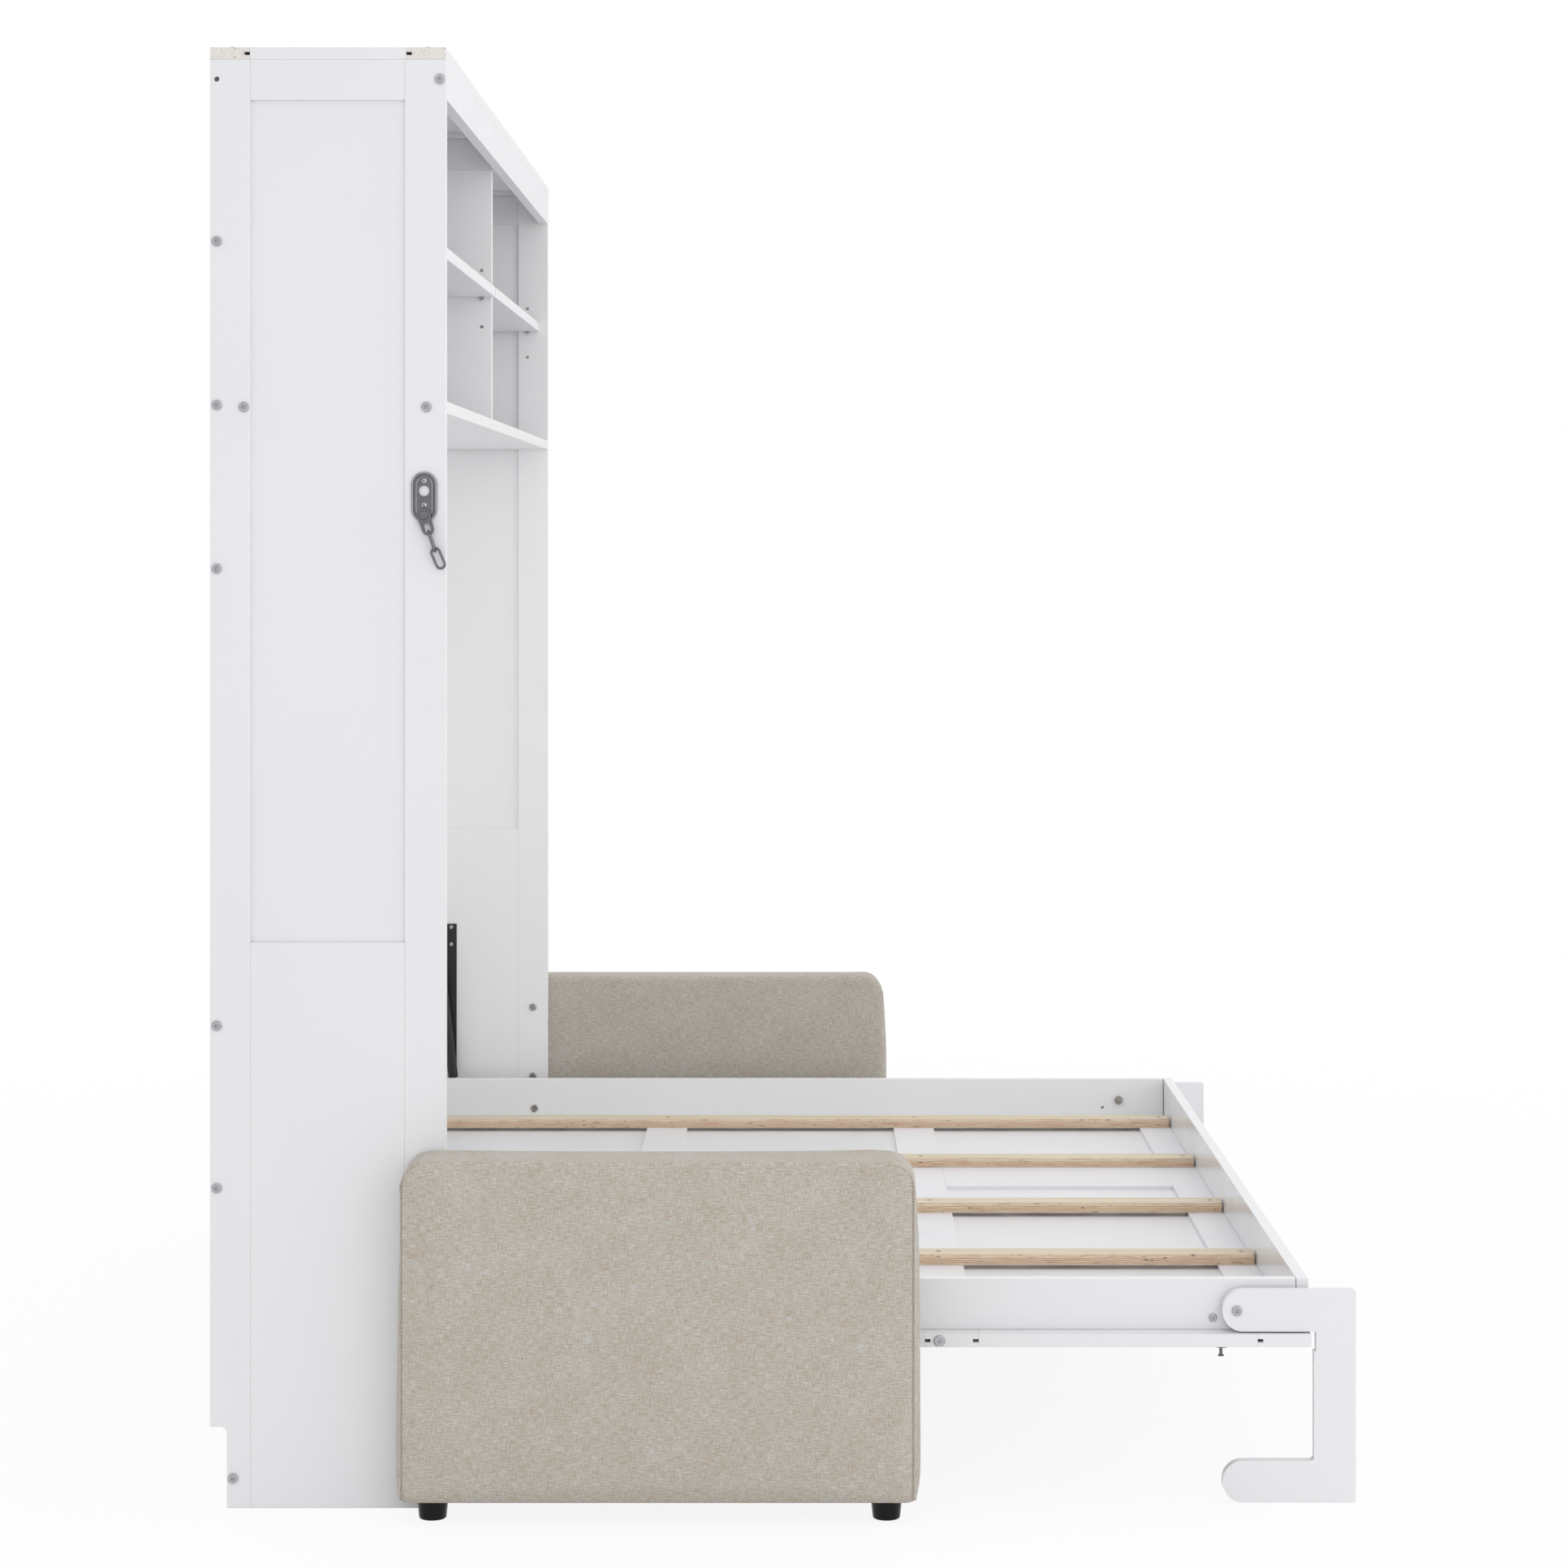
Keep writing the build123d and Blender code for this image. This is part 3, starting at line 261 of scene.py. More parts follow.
whitePaint, _, _ = lacquer("whitePaint", lacquerSet["tone"], lacquerSet["satin"])
glossPaint, _, _ = lacquer("glossPaint", lacquerSet["tone"], lacquerSet["gloss"],
                           bump=0.03, shine=0.5)
# Lighter copy of the white paint for faces inside the cabinet: painted light that lifts their shade
shadeLiftedPaint, _, _ = lacquer("shadeLiftedPaint", lacquerSet["inside"], lacquerSet["satin"])

# Raw board shows where a groove is cut, and thinly painted on the top boards' ends
boardSet = {"endTone": (0.76, 0.72, 0.66), "endShare": 0.7, "fineStretch": (1, 260, 900),
            "fine": {"stops": (0.54, 0.66), "share": 0.75, "tone": (0.42, 0.33, 0.25)},
            "coarseScale": 260.0,
            "coarse": {"stops": (0.66, 0.72), "share": 0.9, "tone": (0.34, 0.22, 0.14)},
            "rawScale": 300.0, "raw": [(0.3, (0.30, 0.14, 0.07)), (0.7, (0.52, 0.30, 0.17))]}


def grooved(name, grooveTest, endTest=None):
    s = boardSet
    mat, tree, shader = lacquer(name, lacquerSet["tone"], lacquerSet["satin"])
    coords = addNode(tree, "ShaderNodeTexCoord").outputs["Object"]
    parts = partsOf(tree, coords)
    painted = shader.inputs["Base Color"].links[0].from_socket
    if endTest:
        atEnd = endTest(tree, parts)
        thin = mathOf(tree, "MULTIPLY", atEnd, s["endShare"])
        painted = mixColor(tree, thin, painted, s["endTone"])
        fine = stretchOf(tree, coords, s["fineStretch"])
        fine = noiseOf(tree, fine, 1.0, detail=4.0, roughness=0.7)
        painted = speckled(tree, painted, fine, s["fine"], atEnd)
        coarse = noiseOf(tree, coords, s["coarseScale"], detail=2.0)
        painted = speckled(tree, painted, coarse, s["coarse"], atEnd)
    raw = rampOf(tree, noiseOf(tree, coords, s["rawScale"]), s["raw"])
    bare = mixColor(tree, grooveTest(tree, parts), painted, raw)
    tree.links.new(bare, shader.inputs["Base Color"])
    return mat


# Where the grooves lie: heights and depths of the top boards, and the bays between the bed's stiles
topSet = {"groove": (2.1485, 2.1535), "front": (0.5511, 0.5600), "rear": (0.7900, 0.7989),
          "end": 1.1015}
bedGroove = {"middle": (0.2400, 0.2450), "start": -0.7825, "pitch": 0.494333, "cut": 0.0085,
             "stile": 0.080, "over": 0.0004, "bays": 3, "first": 0.01, "last": 0.07}


def topGroove(tree, parts):
    inHeight = bandMask(tree, parts[2], *topSet["groove"])
    inDepth = mathOf(tree, "MAXIMUM", bandMask(tree, parts[1], *topSet["front"]),
                     bandMask(tree, parts[1], *topSet["rear"]))
    return mathOf(tree, "MULTIPLY", inHeight, inDepth)


def topEnd(tree, parts):
    return mathOf(tree, "GREATER_THAN", mathOf(tree, "ABSOLUTE", parts[0]), topSet["end"])


def stileGroove(tree, parts):
    s = bedGroove
    inHeight = bandMask(tree, parts[2], *s["middle"])
    along = mathOf(tree, "SUBTRACT", parts[1], s["start"])
    step = mathOf(tree, "MODULO", along, s["pitch"])
    first = mathOf(tree, "LESS_THAN", step, s["cut"])
    last = bandMask(tree, step, s["stile"] - s["cut"], s["stile"] + s["over"])
    inside = bandMask(tree, along, s["first"], s["bays"] * s["pitch"] + s["last"])
    cut = mathOf(tree, "MULTIPLY", inside, mathOf(tree, "MAXIMUM", first, last))
    return mathOf(tree, "MULTIPLY", inHeight, cut)


topBoardPaint = grooved("topBoardPaint", topGroove, topEnd)
stilePaint = grooved("stilePaint", stileGroove)

# Plywood of the slats: pale face veneer on top, thin plies on every edge
plySet = {"low": 0.252, "plies": 11, "thick": 0.018, "rough": 0.6,
          "wobble": {"stretch": (1, 7, 1), "most": 0.0011},
          "tones": [(0.0, (0.64, 0.45, 0.30)), (0.35, (0.80, 0.65, 0.48)),
                    (0.7, (0.88, 0.75, 0.58)), (1.0, (0.55, 0.33, 0.20))],
          "streakStretch": (1, 22, 1500),
          "dark": {"stops": (0.49, 0.66), "share": 0.8, "tone": (0.36, 0.17, 0.085)},
          "pale": {"stops": (0.30, 0.46), "share": 0.55, "tone": (0.88, 0.76, 0.61)},
          "glue": {"share": 0.22, "stretch": (1, 5, 1), "patchy": (0.35, 0.9),
                   "tone": (0.30, 0.14, 0.07)},
          "void": {"stretch": (1, 45, 420), "above": 0.68, "share": 0.9,
                   "tone": (0.06, 0.025, 0.012)},
          "grainStretch": (160, 3.2, 1), "veneer": 0.0005,
          "face": [(0.3, (0.56, 0.46, 0.32)), (0.5, (0.70, 0.61, 0.46)),
                   (0.72, (0.78, 0.70, 0.56))],
          "streakBump": (0.25, 0.0003), "grainBump": (0.15, 0.0002)}


def plywoodOf(name, s):
    mat, tree, shader = newMaterial(name, Roughness=s["rough"])
    coords = addNode(tree, "ShaderNodeTexCoord").outputs["Object"]
    parts = partsOf(tree, coords)

    def stretched(scale, detail, roughness=0.5):
        return noiseOf(tree, stretchOf(tree, coords, scale), 1.0, detail, roughness)

    wobble = mathOf(tree, "SUBTRACT", stretched(s["wobble"]["stretch"], 2.0), 0.5)
    height = mathOf(tree, "SUBTRACT", parts[2], s["low"])
    height = mathOf(tree, "ADD", height, mathOf(tree, "MULTIPLY", wobble, s["wobble"]["most"]))
    layer = mathOf(tree, "DIVIDE", height, s["thick"] / s["plies"])
    index = mathOf(tree, "FLOOR", layer)
    within = mathOf(tree, "FRACT", layer)
    pick = addNode(tree, "ShaderNodeTexWhiteNoise", {"W": index}, noise_dimensions="1D")
    tone = rampOf(tree, pick.outputs["Value"], s["tones"])
    streak = stretched(s["streakStretch"], 5.0, 0.7)
    tone = speckled(tree, tone, streak, s["dark"])
    pale = greyRamp(tree, streak, s["pale"]["share"], 0.0, *s["pale"]["stops"])
    tone = mixColor(tree, pale, tone, s["pale"]["tone"])
    patch = greyRamp(tree, stretched(s["glue"]["stretch"], 2.0), *s["glue"]["patchy"])
    glue = mathOf(tree, "MULTIPLY", mathOf(tree, "LESS_THAN", within, s["glue"]["share"]), patch)
    tone = mixColor(tree, glue, tone, s["glue"]["tone"])
    # Painted shade: near-black flecks stand for the shade in the voids of the core plies
    voidShade = mathOf(tree, "GREATER_THAN", stretched(s["void"]["stretch"], 2.0, 0.6),
                   s["void"]["above"])
    voidShade = mathOf(tree, "MULTIPLY", voidShade, s["void"]["share"])
    tone = mixColor(tree, voidShade, tone, s["void"]["tone"])
    grain = stretched(s["grainStretch"], 5.0, 0.62)
    onTop = mathOf(tree, "GREATER_THAN", parts[2], s["low"] + s["thick"] - s["veneer"])
    tone = mixColor(tree, onTop, tone, rampOf(tree, grain, s["face"]))
    tree.links.new(tone, shader.inputs["Base Color"])
    under = bumpOf(tree, shader, streak, *s["streakBump"])
    bumpOf(tree, shader, grain, *s["grainBump"], under)
    return mat


slatPly = plywoodOf("slatPly", plySet)

# Sawn softwood of the hidden frames, pores and streaks along each board
woodSet = {"dark": (0.50, 0.36, 0.21), "light": (0.70, 0.56, 0.37), "across": 60, "along": 2.5,
           "rough": 0.7, "bump": (0.3, 0.0004)}


def sawnWood(name, axis):
    s = woodSet
    mat, tree, shader = newMaterial(name, Roughness=s["rough"])
    stretch = [s["along"] if letter == axis else s["across"] for letter in "XYZ"]
    grain = noiseOf(tree, objectCoords(tree, stretch), 1.0, detail=5.0, roughness=0.6)
    tone = rampOf(tree, grain, [(0.3, s["dark"]), (0.7, s["light"])])
    tree.links.new(tone, shader.inputs["Base Color"])
    bumpOf(tree, shader, grain, *s["bump"])
    return mat


frameWood = sawnWood("frameWood", "Y")
seatWood = sawnWood("seatWood", "X")

# Metals and plastics
metalSet = {"cloudScale": 120.0, "cloudTone": 0.86, "creaseShadeTone": 0.12, "roughSpread": (0.75, 1.3),
            "crease": {"reach": 0.003, "samples": 6, "open": (0.30, 0.78), "most": 0.9},
            "brush": {"scale": 900.0, "strength": 0.1, "distance": 0.0001}}


def metalOf(name, tone, roughness, metallic=1.0, shine=0.5):
    s = metalSet
    mat, tree, shader = newMaterial(name, Metallic=metallic, Specular_IOR_Level=shine)
    coords = objectCoords(tree)
    cloud = noiseOf(tree, coords, s["cloudScale"], detail=4.0)
    plated = rampOf(tree, cloud, [(0.3, scaled(tone, s["cloudTone"])), (0.7, tone)])
    # Painted shade in sockets and under heads, on metals only
    if metallic > 0.5:
        plated = paintedCreaseShade(tree, plated, scaled(tone, s["creaseShadeTone"]), s["crease"])
    tree.links.new(plated, shader.inputs["Base Color"])
    least, most = s["roughSpread"]
    rough = greyRamp(tree, cloud, roughness * least, roughness * most)
    tree.links.new(rough, shader.inputs["Roughness"])
    brushed = noiseOf(tree, coords, s["brush"]["scale"], detail=2.0)
    bumpOf(tree, shader, brushed, s["brush"]["strength"], s["brush"]["distance"])
    return mat


zincSteel = metalOf("zincSteel", (0.46, 0.47, 0.49), 0.26)
brownScrew = metalOf("brownScrew", (0.20, 0.11, 0.06), 0.4)
darkNickel = metalOf("darkNickel", (0.18, 0.18, 0.19), 0.24)
brightNickel = metalOf("brightNickel", (0.40, 0.40, 0.42), 0.14)
blackSteel = metalOf("blackSteel", (0.018, 0.018, 0.020), 0.38, metallic=0.2)
polishedRod = metalOf("polishedRod", (0.78, 0.78, 0.80), 0.08)
blackPlastic = metalOf("blackPlastic", (0.003, 0.003, 0.0035), 0.12, metallic=0.0, shine=0.2)
bushPlastic = metalOf("bushPlastic", (0.78, 0.77, 0.72), 0.45, metallic=0.0)

# Linen: light and tan threads in a plain weave. Its layers are the slubs that run along the arm,
# the ones that run up it, the flecks and the clouds, each with its stretch, detail and weight
linenSet = {"tones": [(0.40, (0.40, 0.345, 0.275)), (0.47, (0.495, 0.475, 0.425)),
                      (0.54, (0.60, 0.61, 0.61))],
            "layers": [((75, 620), 3.0, 0.34), ((620, 75), 3.0, 0.24), ((560, 700), 1.0, 0.26),
                       ((12, 14), 4.0, 0.08)],
            "short": {"stops": (0.53, 0.66), "share": 0.55, "tone": (0.52, 0.37, 0.26)},
            "long": {"stops": (0.54, 0.68), "share": 0.4, "tone": (0.52, 0.37, 0.26)},
            "shortStretch": (300, 900), "longStretch": (40, 420),
            # The seam tone is painted shade in the seam's groove
            "seam": (0.16, 0.12, 0.09), "seamShadeShare": 0.5, "thread": 0.00125,
            "weaveBump": (0.35, 0.0004), "slubBump": (0.5, 0.0012)}


def linenCloth(name, s):
    mat, tree, shader = newMaterial(name, Roughness=0.85, Sheen_Weight=0.15, Sheen_Roughness=0.5,
                                    Specular_IOR_Level=0.2)
    uv = addNode(tree, "ShaderNodeUVMap", uv_map="cloth").outputs["UV"]

    def stretched(scale, detail):
        return noiseOf(tree, stretchOf(tree, uv, (*scale, 1)), 1.0, detail, 0.65)

    mix = 0.0
    for scale, detail, weight in s["layers"]:
        mix = mathOf(tree, "ADD", mathOf(tree, "MULTIPLY", stretched(scale, detail), weight), mix)
    tone = rampOf(tree, mix, s["tones"])
    tone = speckled(tree, tone, stretched(s["shortStretch"], 2.0), s["short"])
    tone = speckled(tree, tone, stretched(s["longStretch"], 3.0), s["long"])
    # Painted shade in the seam's groove, deepest where the groove is deepest
    sewn = addNode(tree, "ShaderNodeAttribute", attribute_name="sewn").outputs["Fac"]
    tone = mixColor(tree, mathOf(tree, "MULTIPLY", sewn, s["seamShadeShare"]), tone, s["seam"])
    tree.links.new(tone, shader.inputs["Base Color"])
    parts = partsOf(tree, uv)
    turn = math.pi / s["thread"]
    across = mathOf(tree, "SINE", mathOf(tree, "MULTIPLY", parts[0], turn))
    up = mathOf(tree, "SINE", mathOf(tree, "MULTIPLY", parts[1], turn))
    under = bumpOf(tree, shader, mathOf(tree, "MULTIPLY", across, up), *s["weaveBump"])
    bumpOf(tree, shader, mix, *s["slubBump"], under)
    return mat


linen = linenCloth("linen", linenSet)

# Darker sewing thread
threadSet = {"rough": 0.8, "twist": 1500.0,
             "tones": [(0.3, (0.20, 0.16, 0.12)), (0.7, (0.34, 0.28, 0.22))]}
threadMat, tree, shader = newMaterial("seamThread", Roughness=threadSet["rough"])
twist = noiseOf(tree, objectCoords(tree), threadSet["twist"], detail=2.0)
tree.links.new(rampOf(tree, twist, threadSet["tones"]), shader.inputs["Base Color"])
print("materials made")

slotMaterials = {"white_paint": whitePaint, "plywood": slatPly, "linen": linen,
                 "frame_timber": frameWood, "zinc_steel": zincSteel, "dark_nickel": darkNickel,
                 "black_steel": blackSteel, "polished_rod": polishedRod,
                 "black_plastic": blackPlastic, "bush_plastic": bushPlastic}
nodeMaterials = {"footboard": glossPaint, "rear_board": glossPaint, "bed_rail_left": glossPaint,
                 "bed_rail_right": shadeLiftedPaint, "panel_stiles": stilePaint,
                 "top_front_boards": topBoardPaint, "top_rear_boards": topBoardPaint,
                 "seat_frame": seatWood, "seat_deck": seatWood, "back_panels": shadeLiftedPaint,
                 "divider": shadeLiftedPaint, "upper_field_right": shadeLiftedPaint,
                 "lower_field_right": shadeLiftedPaint, "front_stile_right": shadeLiftedPaint,
                 "rear_stile_right": shadeLiftedPaint, "bed_screws": brownScrew}
for part in frame["record"]["subparts"]:
    shown = nodes[part["node"]]
    chosen = nodeMaterials.get(part["node"], slotMaterials[part["material_slot"]])
    if not shown.material_slots:
        shown.data.materials.append(chosen)
    for held in shown.material_slots:
        held.material = chosen
print("finishes put on the frame")


# Mesh helpers
def addPiece(name, bm, material, smooth=True):
    mesh = bpy.data.meshes.new(name)
    bm.to_mesh(mesh)
    bm.free()
    piece = bpy.data.objects.new(name, mesh)
    piece.data.materials.append(material)
    for face in mesh.polygons:
        face.use_smooth = smooth
    scene.collection.objects.link(piece)
    return piece


def bakeModifiers(piece):
    view = bpy.context.evaluated_depsgraph_get()
    made = bpy.data.meshes.new_from_object(piece.evaluated_get(view))
    piece.modifiers.clear()
    old = piece.data
    piece.data = made
    bpy.data.meshes.remove(old)


def addBox(bm, low, high):
    bmesh.ops.create_cube(bm, size=1)
    bmesh.ops.scale(bm, vec=high - low, verts=bm.verts)
    bmesh.ops.translate(bm, vec=(low + high) / 2, verts=bm.verts)


def bevelEdges(bm, edges, width, segments):
    bmesh.ops.bevel(bm, geom=edges, offset=width, segments=segments, profile=0.5,
                    affect="EDGES", material=-1, clamp_overlap=True)


# Puffs a closed form up against its frame, with the vertices that held picks out kept still
clothSet = {"quality": 5, "mass": 0.3, "stiffness": 20, "bending": 2.0, "frames": 20}


def puffUp(piece, s, held):
    remesh = piece.modifiers.new("remesh", "REMESH")
    remesh.mode = "VOXEL"
    remesh.voxel_size = s["voxel"]
    bakeModifiers(piece)
    start = [v.co.copy() for v in piece.data.vertices]
    group = piece.vertex_groups.new(name="held")
    group.add([v.index for v in piece.data.vertices if held(v.co)], 1.0, "REPLACE")
    cloth = piece.modifiers.new("cloth", "CLOTH")
    cloth.settings.quality = clothSet["quality"]
    cloth.settings.mass = clothSet["mass"]
    cloth.settings.tension_stiffness = clothSet["stiffness"]
    cloth.settings.compression_stiffness = clothSet["stiffness"]
    cloth.settings.bending_stiffness = clothSet["bending"]
    cloth.settings.use_pressure = True
    cloth.settings.uniform_pressure_force = s["pressure"]
    cloth.settings.effector_weights.gravity = 0
    cloth.settings.vertex_group_mass = "held"
    cloth.collision_settings.use_collision = False
    for step in range(1, clothSet["frames"] + 1):
        scene.frame_set(step)
    view = bpy.context.evaluated_depsgraph_get()
    ended = [v.co.copy() for v in piece.evaluated_get(view).data.vertices]
    piece.modifiers.clear()
    piece.vertex_groups.clear()
    scene.frame_set(1)
    for v, a, b in zip(piece.data.vertices, start, ended):
        move = b - a
        v.co = a + (move if move.length <= s["cap"] else move.normalized() * s["cap"])


# Sofa arms: inner and outer are across X, front and rear along Y
armSet = {"inner": 1.1023, "outer": 1.2090, "front": -0.1975, "rear": 0.5660,
          "low": 0.0308, "high": 0.5352, "inset": 0.0025,
          "topRadius": 0.042, "topSteps": 10, "lowRadius": 0.007, "lowSteps": 5,
          "edge": 0.009, "edgeSteps": 4, "sharp": 1.0, "slack": 0.01,
          "voxel": 0.0072, "pressure": 3.5, "cap": 0.0045, "heldDepth": 0.004, "heldRise": 0.003}
tuckSet = {"rise": 0.09, "inward": 0.0026, "edge": 0.03, "ends": 0.6, "endsFrom": 0.3}
seamSet = {"inset": 0.0090, "ease": 0.002, "depth": 0.0022, "width": 0.0016, "reach": 0.03,
           "zone": 0.005, "passes": 2, "foot": 0.006, "spread": 0.01, "end": 0.007, "fade": 0.024}
stitchSet = {"aside": 0.0022, "start": 0.016, "pitch": 0.0046, "turn": 1.35,
             "half": (0.0003, 0.00045, 0.0014), "rayFrom": 0.1}


def armForm(s):
    bm = bmesh.new()
    low = Vector((s["inner"], s["front"] + s["inset"], s["low"]))
    high = Vector((s["outer"] - s["inset"], s["rear"] - s["inset"], s["high"] - s["inset"]))
    addBox(bm, low, high)
    centre = (low + high) / 2

    def across():
        return [e for e in bm.edges if abs(e.verts[0].co.x - e.verts[1].co.x) > s["slack"]]

    upper = [e for e in across() if e.verts[0].co.z > centre.z]
    bevelEdges(bm, upper, s["topRadius"], s["topSteps"])
    lowest = [e for e in across() if max(v.co.z for v in e.verts) < s["low"] + s["slack"]]
    bevelEdges(bm, lowest, s["lowRadius"], s["lowSteps"])
    rim = [e for e in bm.edges if all(v.co.x > centre.x for v in e.verts)
           and e.calc_face_angle(0) > s["sharp"]]
    bevelEdges(bm, rim, s["edge"], s["edgeSteps"])
    return bm


armRight = addPiece("armRightCover", armForm(armSet), linen)
puffUp(armRight, armSet, lambda co: co.x < armSet["inner"] + armSet["heldDepth"]
       or co.z < armSet["low"] + armSet["heldRise"])
print("arm padded,", len(armRight.data.polygons), "faces")


# Draws the front and rear in towards the floor, as far as the board inside lets them
def tuckIn(piece, s):
    middle = (armSet["front"] + armSet["rear"]) / 2
    for v in piece.data.vertices:
        low = max(0.0, 1 - (v.co.z - armSet["low"]) / s["rise"])
        edge = max(0.0, 1 - (armSet["outer"] - v.co.x) / s["edge"])
        v.co.x -= s["inward"] * low ** 2 * edge
        if abs(v.co.y - middle) > s["endsFrom"]:
            v.co.y -= math.copysign(s["inward"] * low ** 2 * s["ends"], v.co.y - middle)


tuckIn(armRight, tuckSet)


# The seam's line in the side view: its front, rear, top and corner radius, moved in by aside
def seamLine(aside=0.0):
    inset = seamSet["inset"] + aside
    radius = armSet["topRadius"] - seamSet["inset"] - seamSet["ease"]
    return armSet["front"] + inset, armSet["rear"] - inset, armSet["high"] - inset, radius


# How far a point lies outside that line, which runs up both ends and round the top corners
def seamDistance(y, z):
    front, rear, top, radius = seamLine()
    dy = max(front + radius - y, y - rear + radius, 0)
    dz = max(z - top + radius, 0)
    if dy > 0 and dz > 0:
        return math.hypot(dy, dz) - radius
    return max(front - y, y - rear)


# Presses the seam in as a groove that fades out at the top, and marks its depth for the painted
# shade in the groove
def sewSeams(piece, s):
    bm = bmesh.new()
    bm.from_mesh(piece.data)
    outer = armSet["outer"] - s["reach"]

    def nearSeam(v):
        return v.co.x > outer and abs(seamDistance(v.co.y, v.co.z)) < s["zone"]

    for _ in range(s["passes"]):
        near = [e for e in bm.edges if all(nearSeam(v) for v in e.verts)]
        bmesh.ops.subdivide_edges(bm, edges=near, cuts=1, use_grid_fill=True)
    upper = [v for v in bm.verts if v.co.z > armSet["low"] + s["foot"]]
    bmesh.ops.smooth_vert(bm, verts=upper, factor=0.5,
                          use_axis_x=True, use_axis_y=True, use_axis_z=True)
    bm.normal_update()
    sewn = bm.verts.layers.float.new("sewn")
    moves = []
    for v in bm.verts:
        away = seamDistance(v.co.y, v.co.z)
        if v.co.x > outer and abs(away) < s["spread"] and v.co.z < armSet["high"]:
            fade = min(1.0, max(0.0, (armSet["high"] - s["end"] - v.co.z) / s["fade"]))
            depth = fade * math.exp(-(away / s["width"]) ** 2)
            v[sewn] = depth ** 2
            moves.append((v, v.normal * s["depth"] * depth))
    for v, move in moves:
        v.co -= move
    bm.to_mesh(piece.data)
    bm.free()


sewSeams(armRight, seamSet)


# Walks the seam: place and lean of each stitch, up both ends and round the corners
def seamPath(s):
    front, rear, top, radius = seamLine(s["aside"])
    points = []
    for y, turn in ((front, 1), (rear, -1)):
        z = armSet["low"] + s["start"]
        while z < top - radius:
            points.append((y, z, 0.0))
            z += s["pitch"]
        arc = 0.0
        while arc < radius * s["turn"]:
            a = arc / radius
            rise = top - radius + radius * math.sin(a)
            points.append((y + turn * radius * (1 - math.cos(a)), rise, -turn * a))
            arc += s["pitch"]
    return points


# Lays one short thread at every stitch, on the cover beside the groove
def sewStitches(piece, name, s):
    surface = BVHTree.FromObject(piece, bpy.context.evaluated_depsgraph_get())
    bm = bmesh.new()
    for y, z, lean in seamPath(s):
        eye = Vector((armSet["outer"] + s["rayFrom"], y, z))
        hit, _, _, _ = surface.ray_cast(eye, Vector((-1, 0, 0)))
        if hit is None:
            continue
        turn = Matrix.Translation(hit) @ Matrix.Rotation(lean, 4, "X")
        bmesh.ops.create_uvsphere(bm, u_segments=6, v_segments=4, radius=1,
                                  matrix=turn @ Matrix.Diagonal((*s["half"], 1)))
    return addPiece(name, bm, threadMat)


# Cloth coordinates in metres: the panel runs up the outer side, over the top and down the inner
# side. The ends are cut from another place of the same cloth
endShift = 3.0


def clothMap(piece):
    mesh = piece.data
    layer = mesh.uv_layers.new(name="cloth")
    for face in mesh.polygons:
        n = face.normal
        face.use_smooth = True
        for i in face.loop_indices:
            co = mesh.vertices[mesh.loops[i].vertex_index].co
            if abs(n.y) > max(abs(n.x), abs(n.z)):
                layer.data[i].uv = (co.x + endShift, co.z)
            elif abs(n.x) >= abs(n.z):
                layer.data[i].uv = (co.y, co.z)
            else:
                layer.data[i].uv = (co.y, co.z + co.x)


clothMap(armRight)
stitchRight = sewStitches(armRight, "armRightStitches", stitchSet)


def mirrored(piece, name):
    bm = bmesh.new()
    bm.from_mesh(piece.data)
    bmesh.ops.scale(bm, vec=(-1, 1, 1), verts=bm.verts)
    bmesh.ops.reverse_faces(bm, faces=bm.faces)
    return addPiece(name, bm, piece.data.materials[0])


armLeft = mirrored(armRight, "armLeftCover")
stitchLeft = mirrored(stitchRight, "armLeftStitches")
for piece in (stitchRight, stitchLeft):
    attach(piece, "cabinet")
for piece, node in ((armRight, "arm_right"), (armLeft, "arm_left")):
    finer = piece.modifiers.new("finer", "SUBSURF")
    finer.levels = finer.render_levels = 1
    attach(piece, "cabinet")
    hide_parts(node)
print("arms sewn")

# Seat pad between the arms, with a sewn channel at each of two places along X
padLow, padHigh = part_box("seat_pad")
seatSet = {"inset": 0.006, "round": 0.016, "steps": 4, "voxel": 0.010, "pressure": 3.0,
           "cap": 0.008, "held": 0.006, "channels": (-0.3665, 0.3665), "depth": 0.014,
           "width": 0.009, "rise": 0.03}


def seatForm(s):
    bm = bmesh.new()
    addBox(bm, padLow + Vector((s["inset"], s["inset"], 0)), padHigh - Vector((s["inset"],) * 3))
    middle = (padLow.z + padHigh.z) / 2
    upper = [e for e in bm.edges if all(v.co.z > middle for v in e.verts)]
    bevelEdges(bm, upper, s["round"], s["steps"])
    return bm


seatPad = addPiece("seatPadCover", seatForm(seatSet), linen)
puffUp(seatPad, seatSet, lambda co: co.z < padLow.z + seatSet["held"])


def sewChannels(piece, s):
    for v in piece.data.vertices:
        share = max(0.0, min(1.0, (v.co.z - padLow.z) / s["rise"]))
        for x in s["channels"]:
            v.co.z -= share * s["depth"] * math.exp(-((v.co.x - x) / s["width"]) ** 2)


sewChannels(seatPad, seatSet)
clothMap(seatPad)
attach(seatPad, "cabinet")
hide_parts("seat_pad")
print("seat pad sewn,", len(seatPad.data.polygons), "faces")

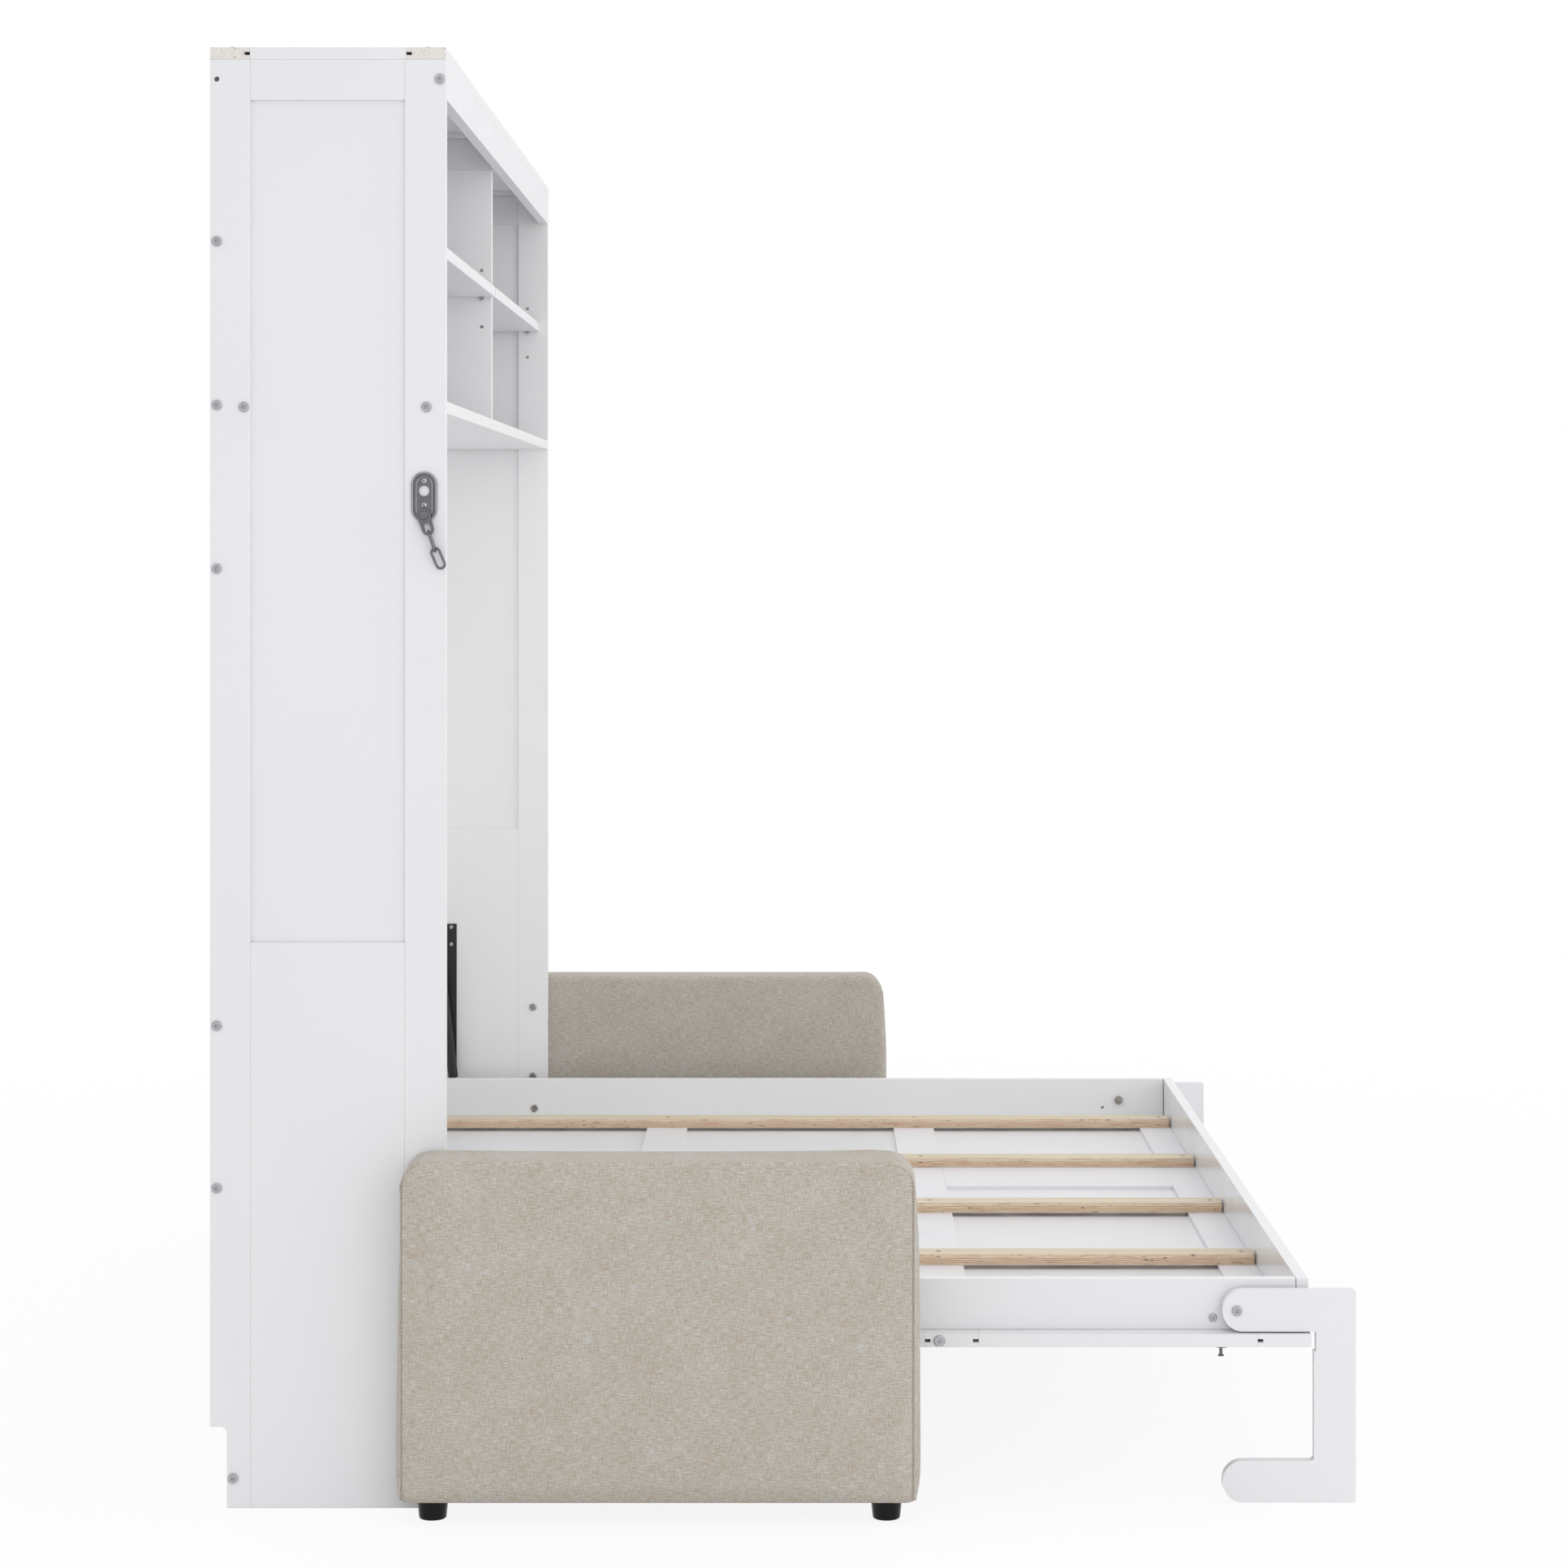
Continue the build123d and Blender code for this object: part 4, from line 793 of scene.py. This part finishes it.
# Cloth over thin foam, stretched round the seat's front rail and stapled below, where it puckers
railSet = {"reach": 0.0025, "depth": 0.0235, "top": 0.1646, "shorter": 0.001, "round": 0.005,
           "steps": 3, "cuts": 110, "longest": 1.0, "pucker": 0.0004, "puckerRise": 0.04,
           "skin": 0.01, "waves": (95, 41)}
railLow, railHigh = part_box("seat_frame")
bm = bmesh.new()
corner = Vector((railLow.x + railSet["shorter"], railLow.y - railSet["reach"],
                 railLow.z - railSet["reach"]))
end = Vector((railHigh.x - railSet["shorter"], railLow.y + railSet["depth"], railSet["top"]))
addBox(bm, corner, end)
bevelEdges(bm, bm.edges[:], railSet["round"], railSet["steps"])
lengthwise = [e for e in bm.edges if e.calc_length() > railSet["longest"]]
bmesh.ops.subdivide_edges(bm, edges=lengthwise, cuts=railSet["cuts"], use_grid_fill=True)
first, second = railSet["waves"]
for v in bm.verts:
    if v.co.z < corner.z + railSet["puckerRise"] and v.co.y < corner.y + railSet["skin"]:
        fade = 1 - (v.co.z - corner.z) / railSet["puckerRise"]
        wave = 1 + math.sin(v.co.x * first) * math.sin(v.co.x * second)
        v.co.y += railSet["pucker"] * fade * wave
bmesh.ops.recalc_face_normals(bm, faces=bm.faces)
railCover = addPiece("seatRailCover", bm, linen)
clothMap(railCover)
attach(railCover, "cabinet")
print("seat rail covered")

# Pressed beads (radius, wire) and the screws' Phillips heads on the door chain's plate, whose
# recesses are black crosses of painted shade
guardSet = {"centre": Vector((-1.105, 0.5325, 1.495)), "half": 0.018,
            "beads": ((0.0175, 0.0011), (0.0118, 0.0008)), "beadSteps": 36, "wireSteps": 8,
            "screws": (-0.012, 0.024), "head": (0.0020, 0.0046, 0.0046),
            "cross": (0.0008, 0.0050, 0.0010), "crossSunk": 0.0004, "crossTurn": 0.3,
            "crossEdge": 0.0003}


def ovalBead(bm, radius, wire, s):
    steps = s["beadSteps"]
    start = Matrix.Translation(s["centre"]) @ Matrix.Rotation(math.pi / steps, 4, "X")
    profile = bmesh.ops.create_circle(bm, segments=s["wireSteps"], radius=wire,
                                      matrix=start @ Matrix.Translation((0, radius, 0)))["verts"]
    edges = list({e for v in profile for e in v.link_edges})
    before = set(bm.verts) - set(profile)
    bmesh.ops.spin(bm, geom=profile + edges, cent=s["centre"], axis=(1, 0, 0), angle=2 * math.pi,
                   steps=steps, use_merge=True)
    for v in set(bm.verts) - before:
        v.co.z += math.copysign(s["half"], v.co.z - s["centre"].z)


bm = bmesh.new()
for radius, wire in guardSet["beads"]:
    ovalBead(bm, radius, wire, guardSet)
for rise in guardSet["screws"]:
    place = Matrix.Translation(guardSet["centre"] + Vector((0, 0, rise)))
    bmesh.ops.create_uvsphere(bm, u_segments=20, v_segments=12, radius=1,
                              matrix=place @ Matrix.Diagonal((*guardSet["head"], 1)))
bmesh.ops.recalc_face_normals(bm, faces=bm.faces)
guardBeads = addPiece("guardBeads", bm, brightNickel)
# Black crosses on the screw heads: painted shade of the Phillips recesses
bm = bmesh.new()
crossOut = guardSet["crossSunk"] - guardSet["head"][0]
for rise in guardSet["screws"]:
    for turn in (guardSet["crossTurn"], guardSet["crossTurn"] + math.pi / 2):
        place = Matrix.Translation(guardSet["centre"] + Vector((crossOut, 0, rise)))
        turned = place @ Matrix.Rotation(turn, 4, "X")
        shape = turned @ Matrix.Diagonal((*guardSet["cross"], 1))
        made = bmesh.ops.create_cube(bm, size=1, matrix=shape)["verts"]
        bevelEdges(bm, list({e for v in made for e in v.link_edges}), guardSet["crossEdge"], 1)
bmesh.ops.recalc_face_normals(bm, faces=bm.faces)
guardCrossShades = addPiece("guardCrossShades", bm, blackSteel, False)
for piece in (guardBeads, guardCrossShades):
    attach(piece, "cabinet")
print("chain plate finished")
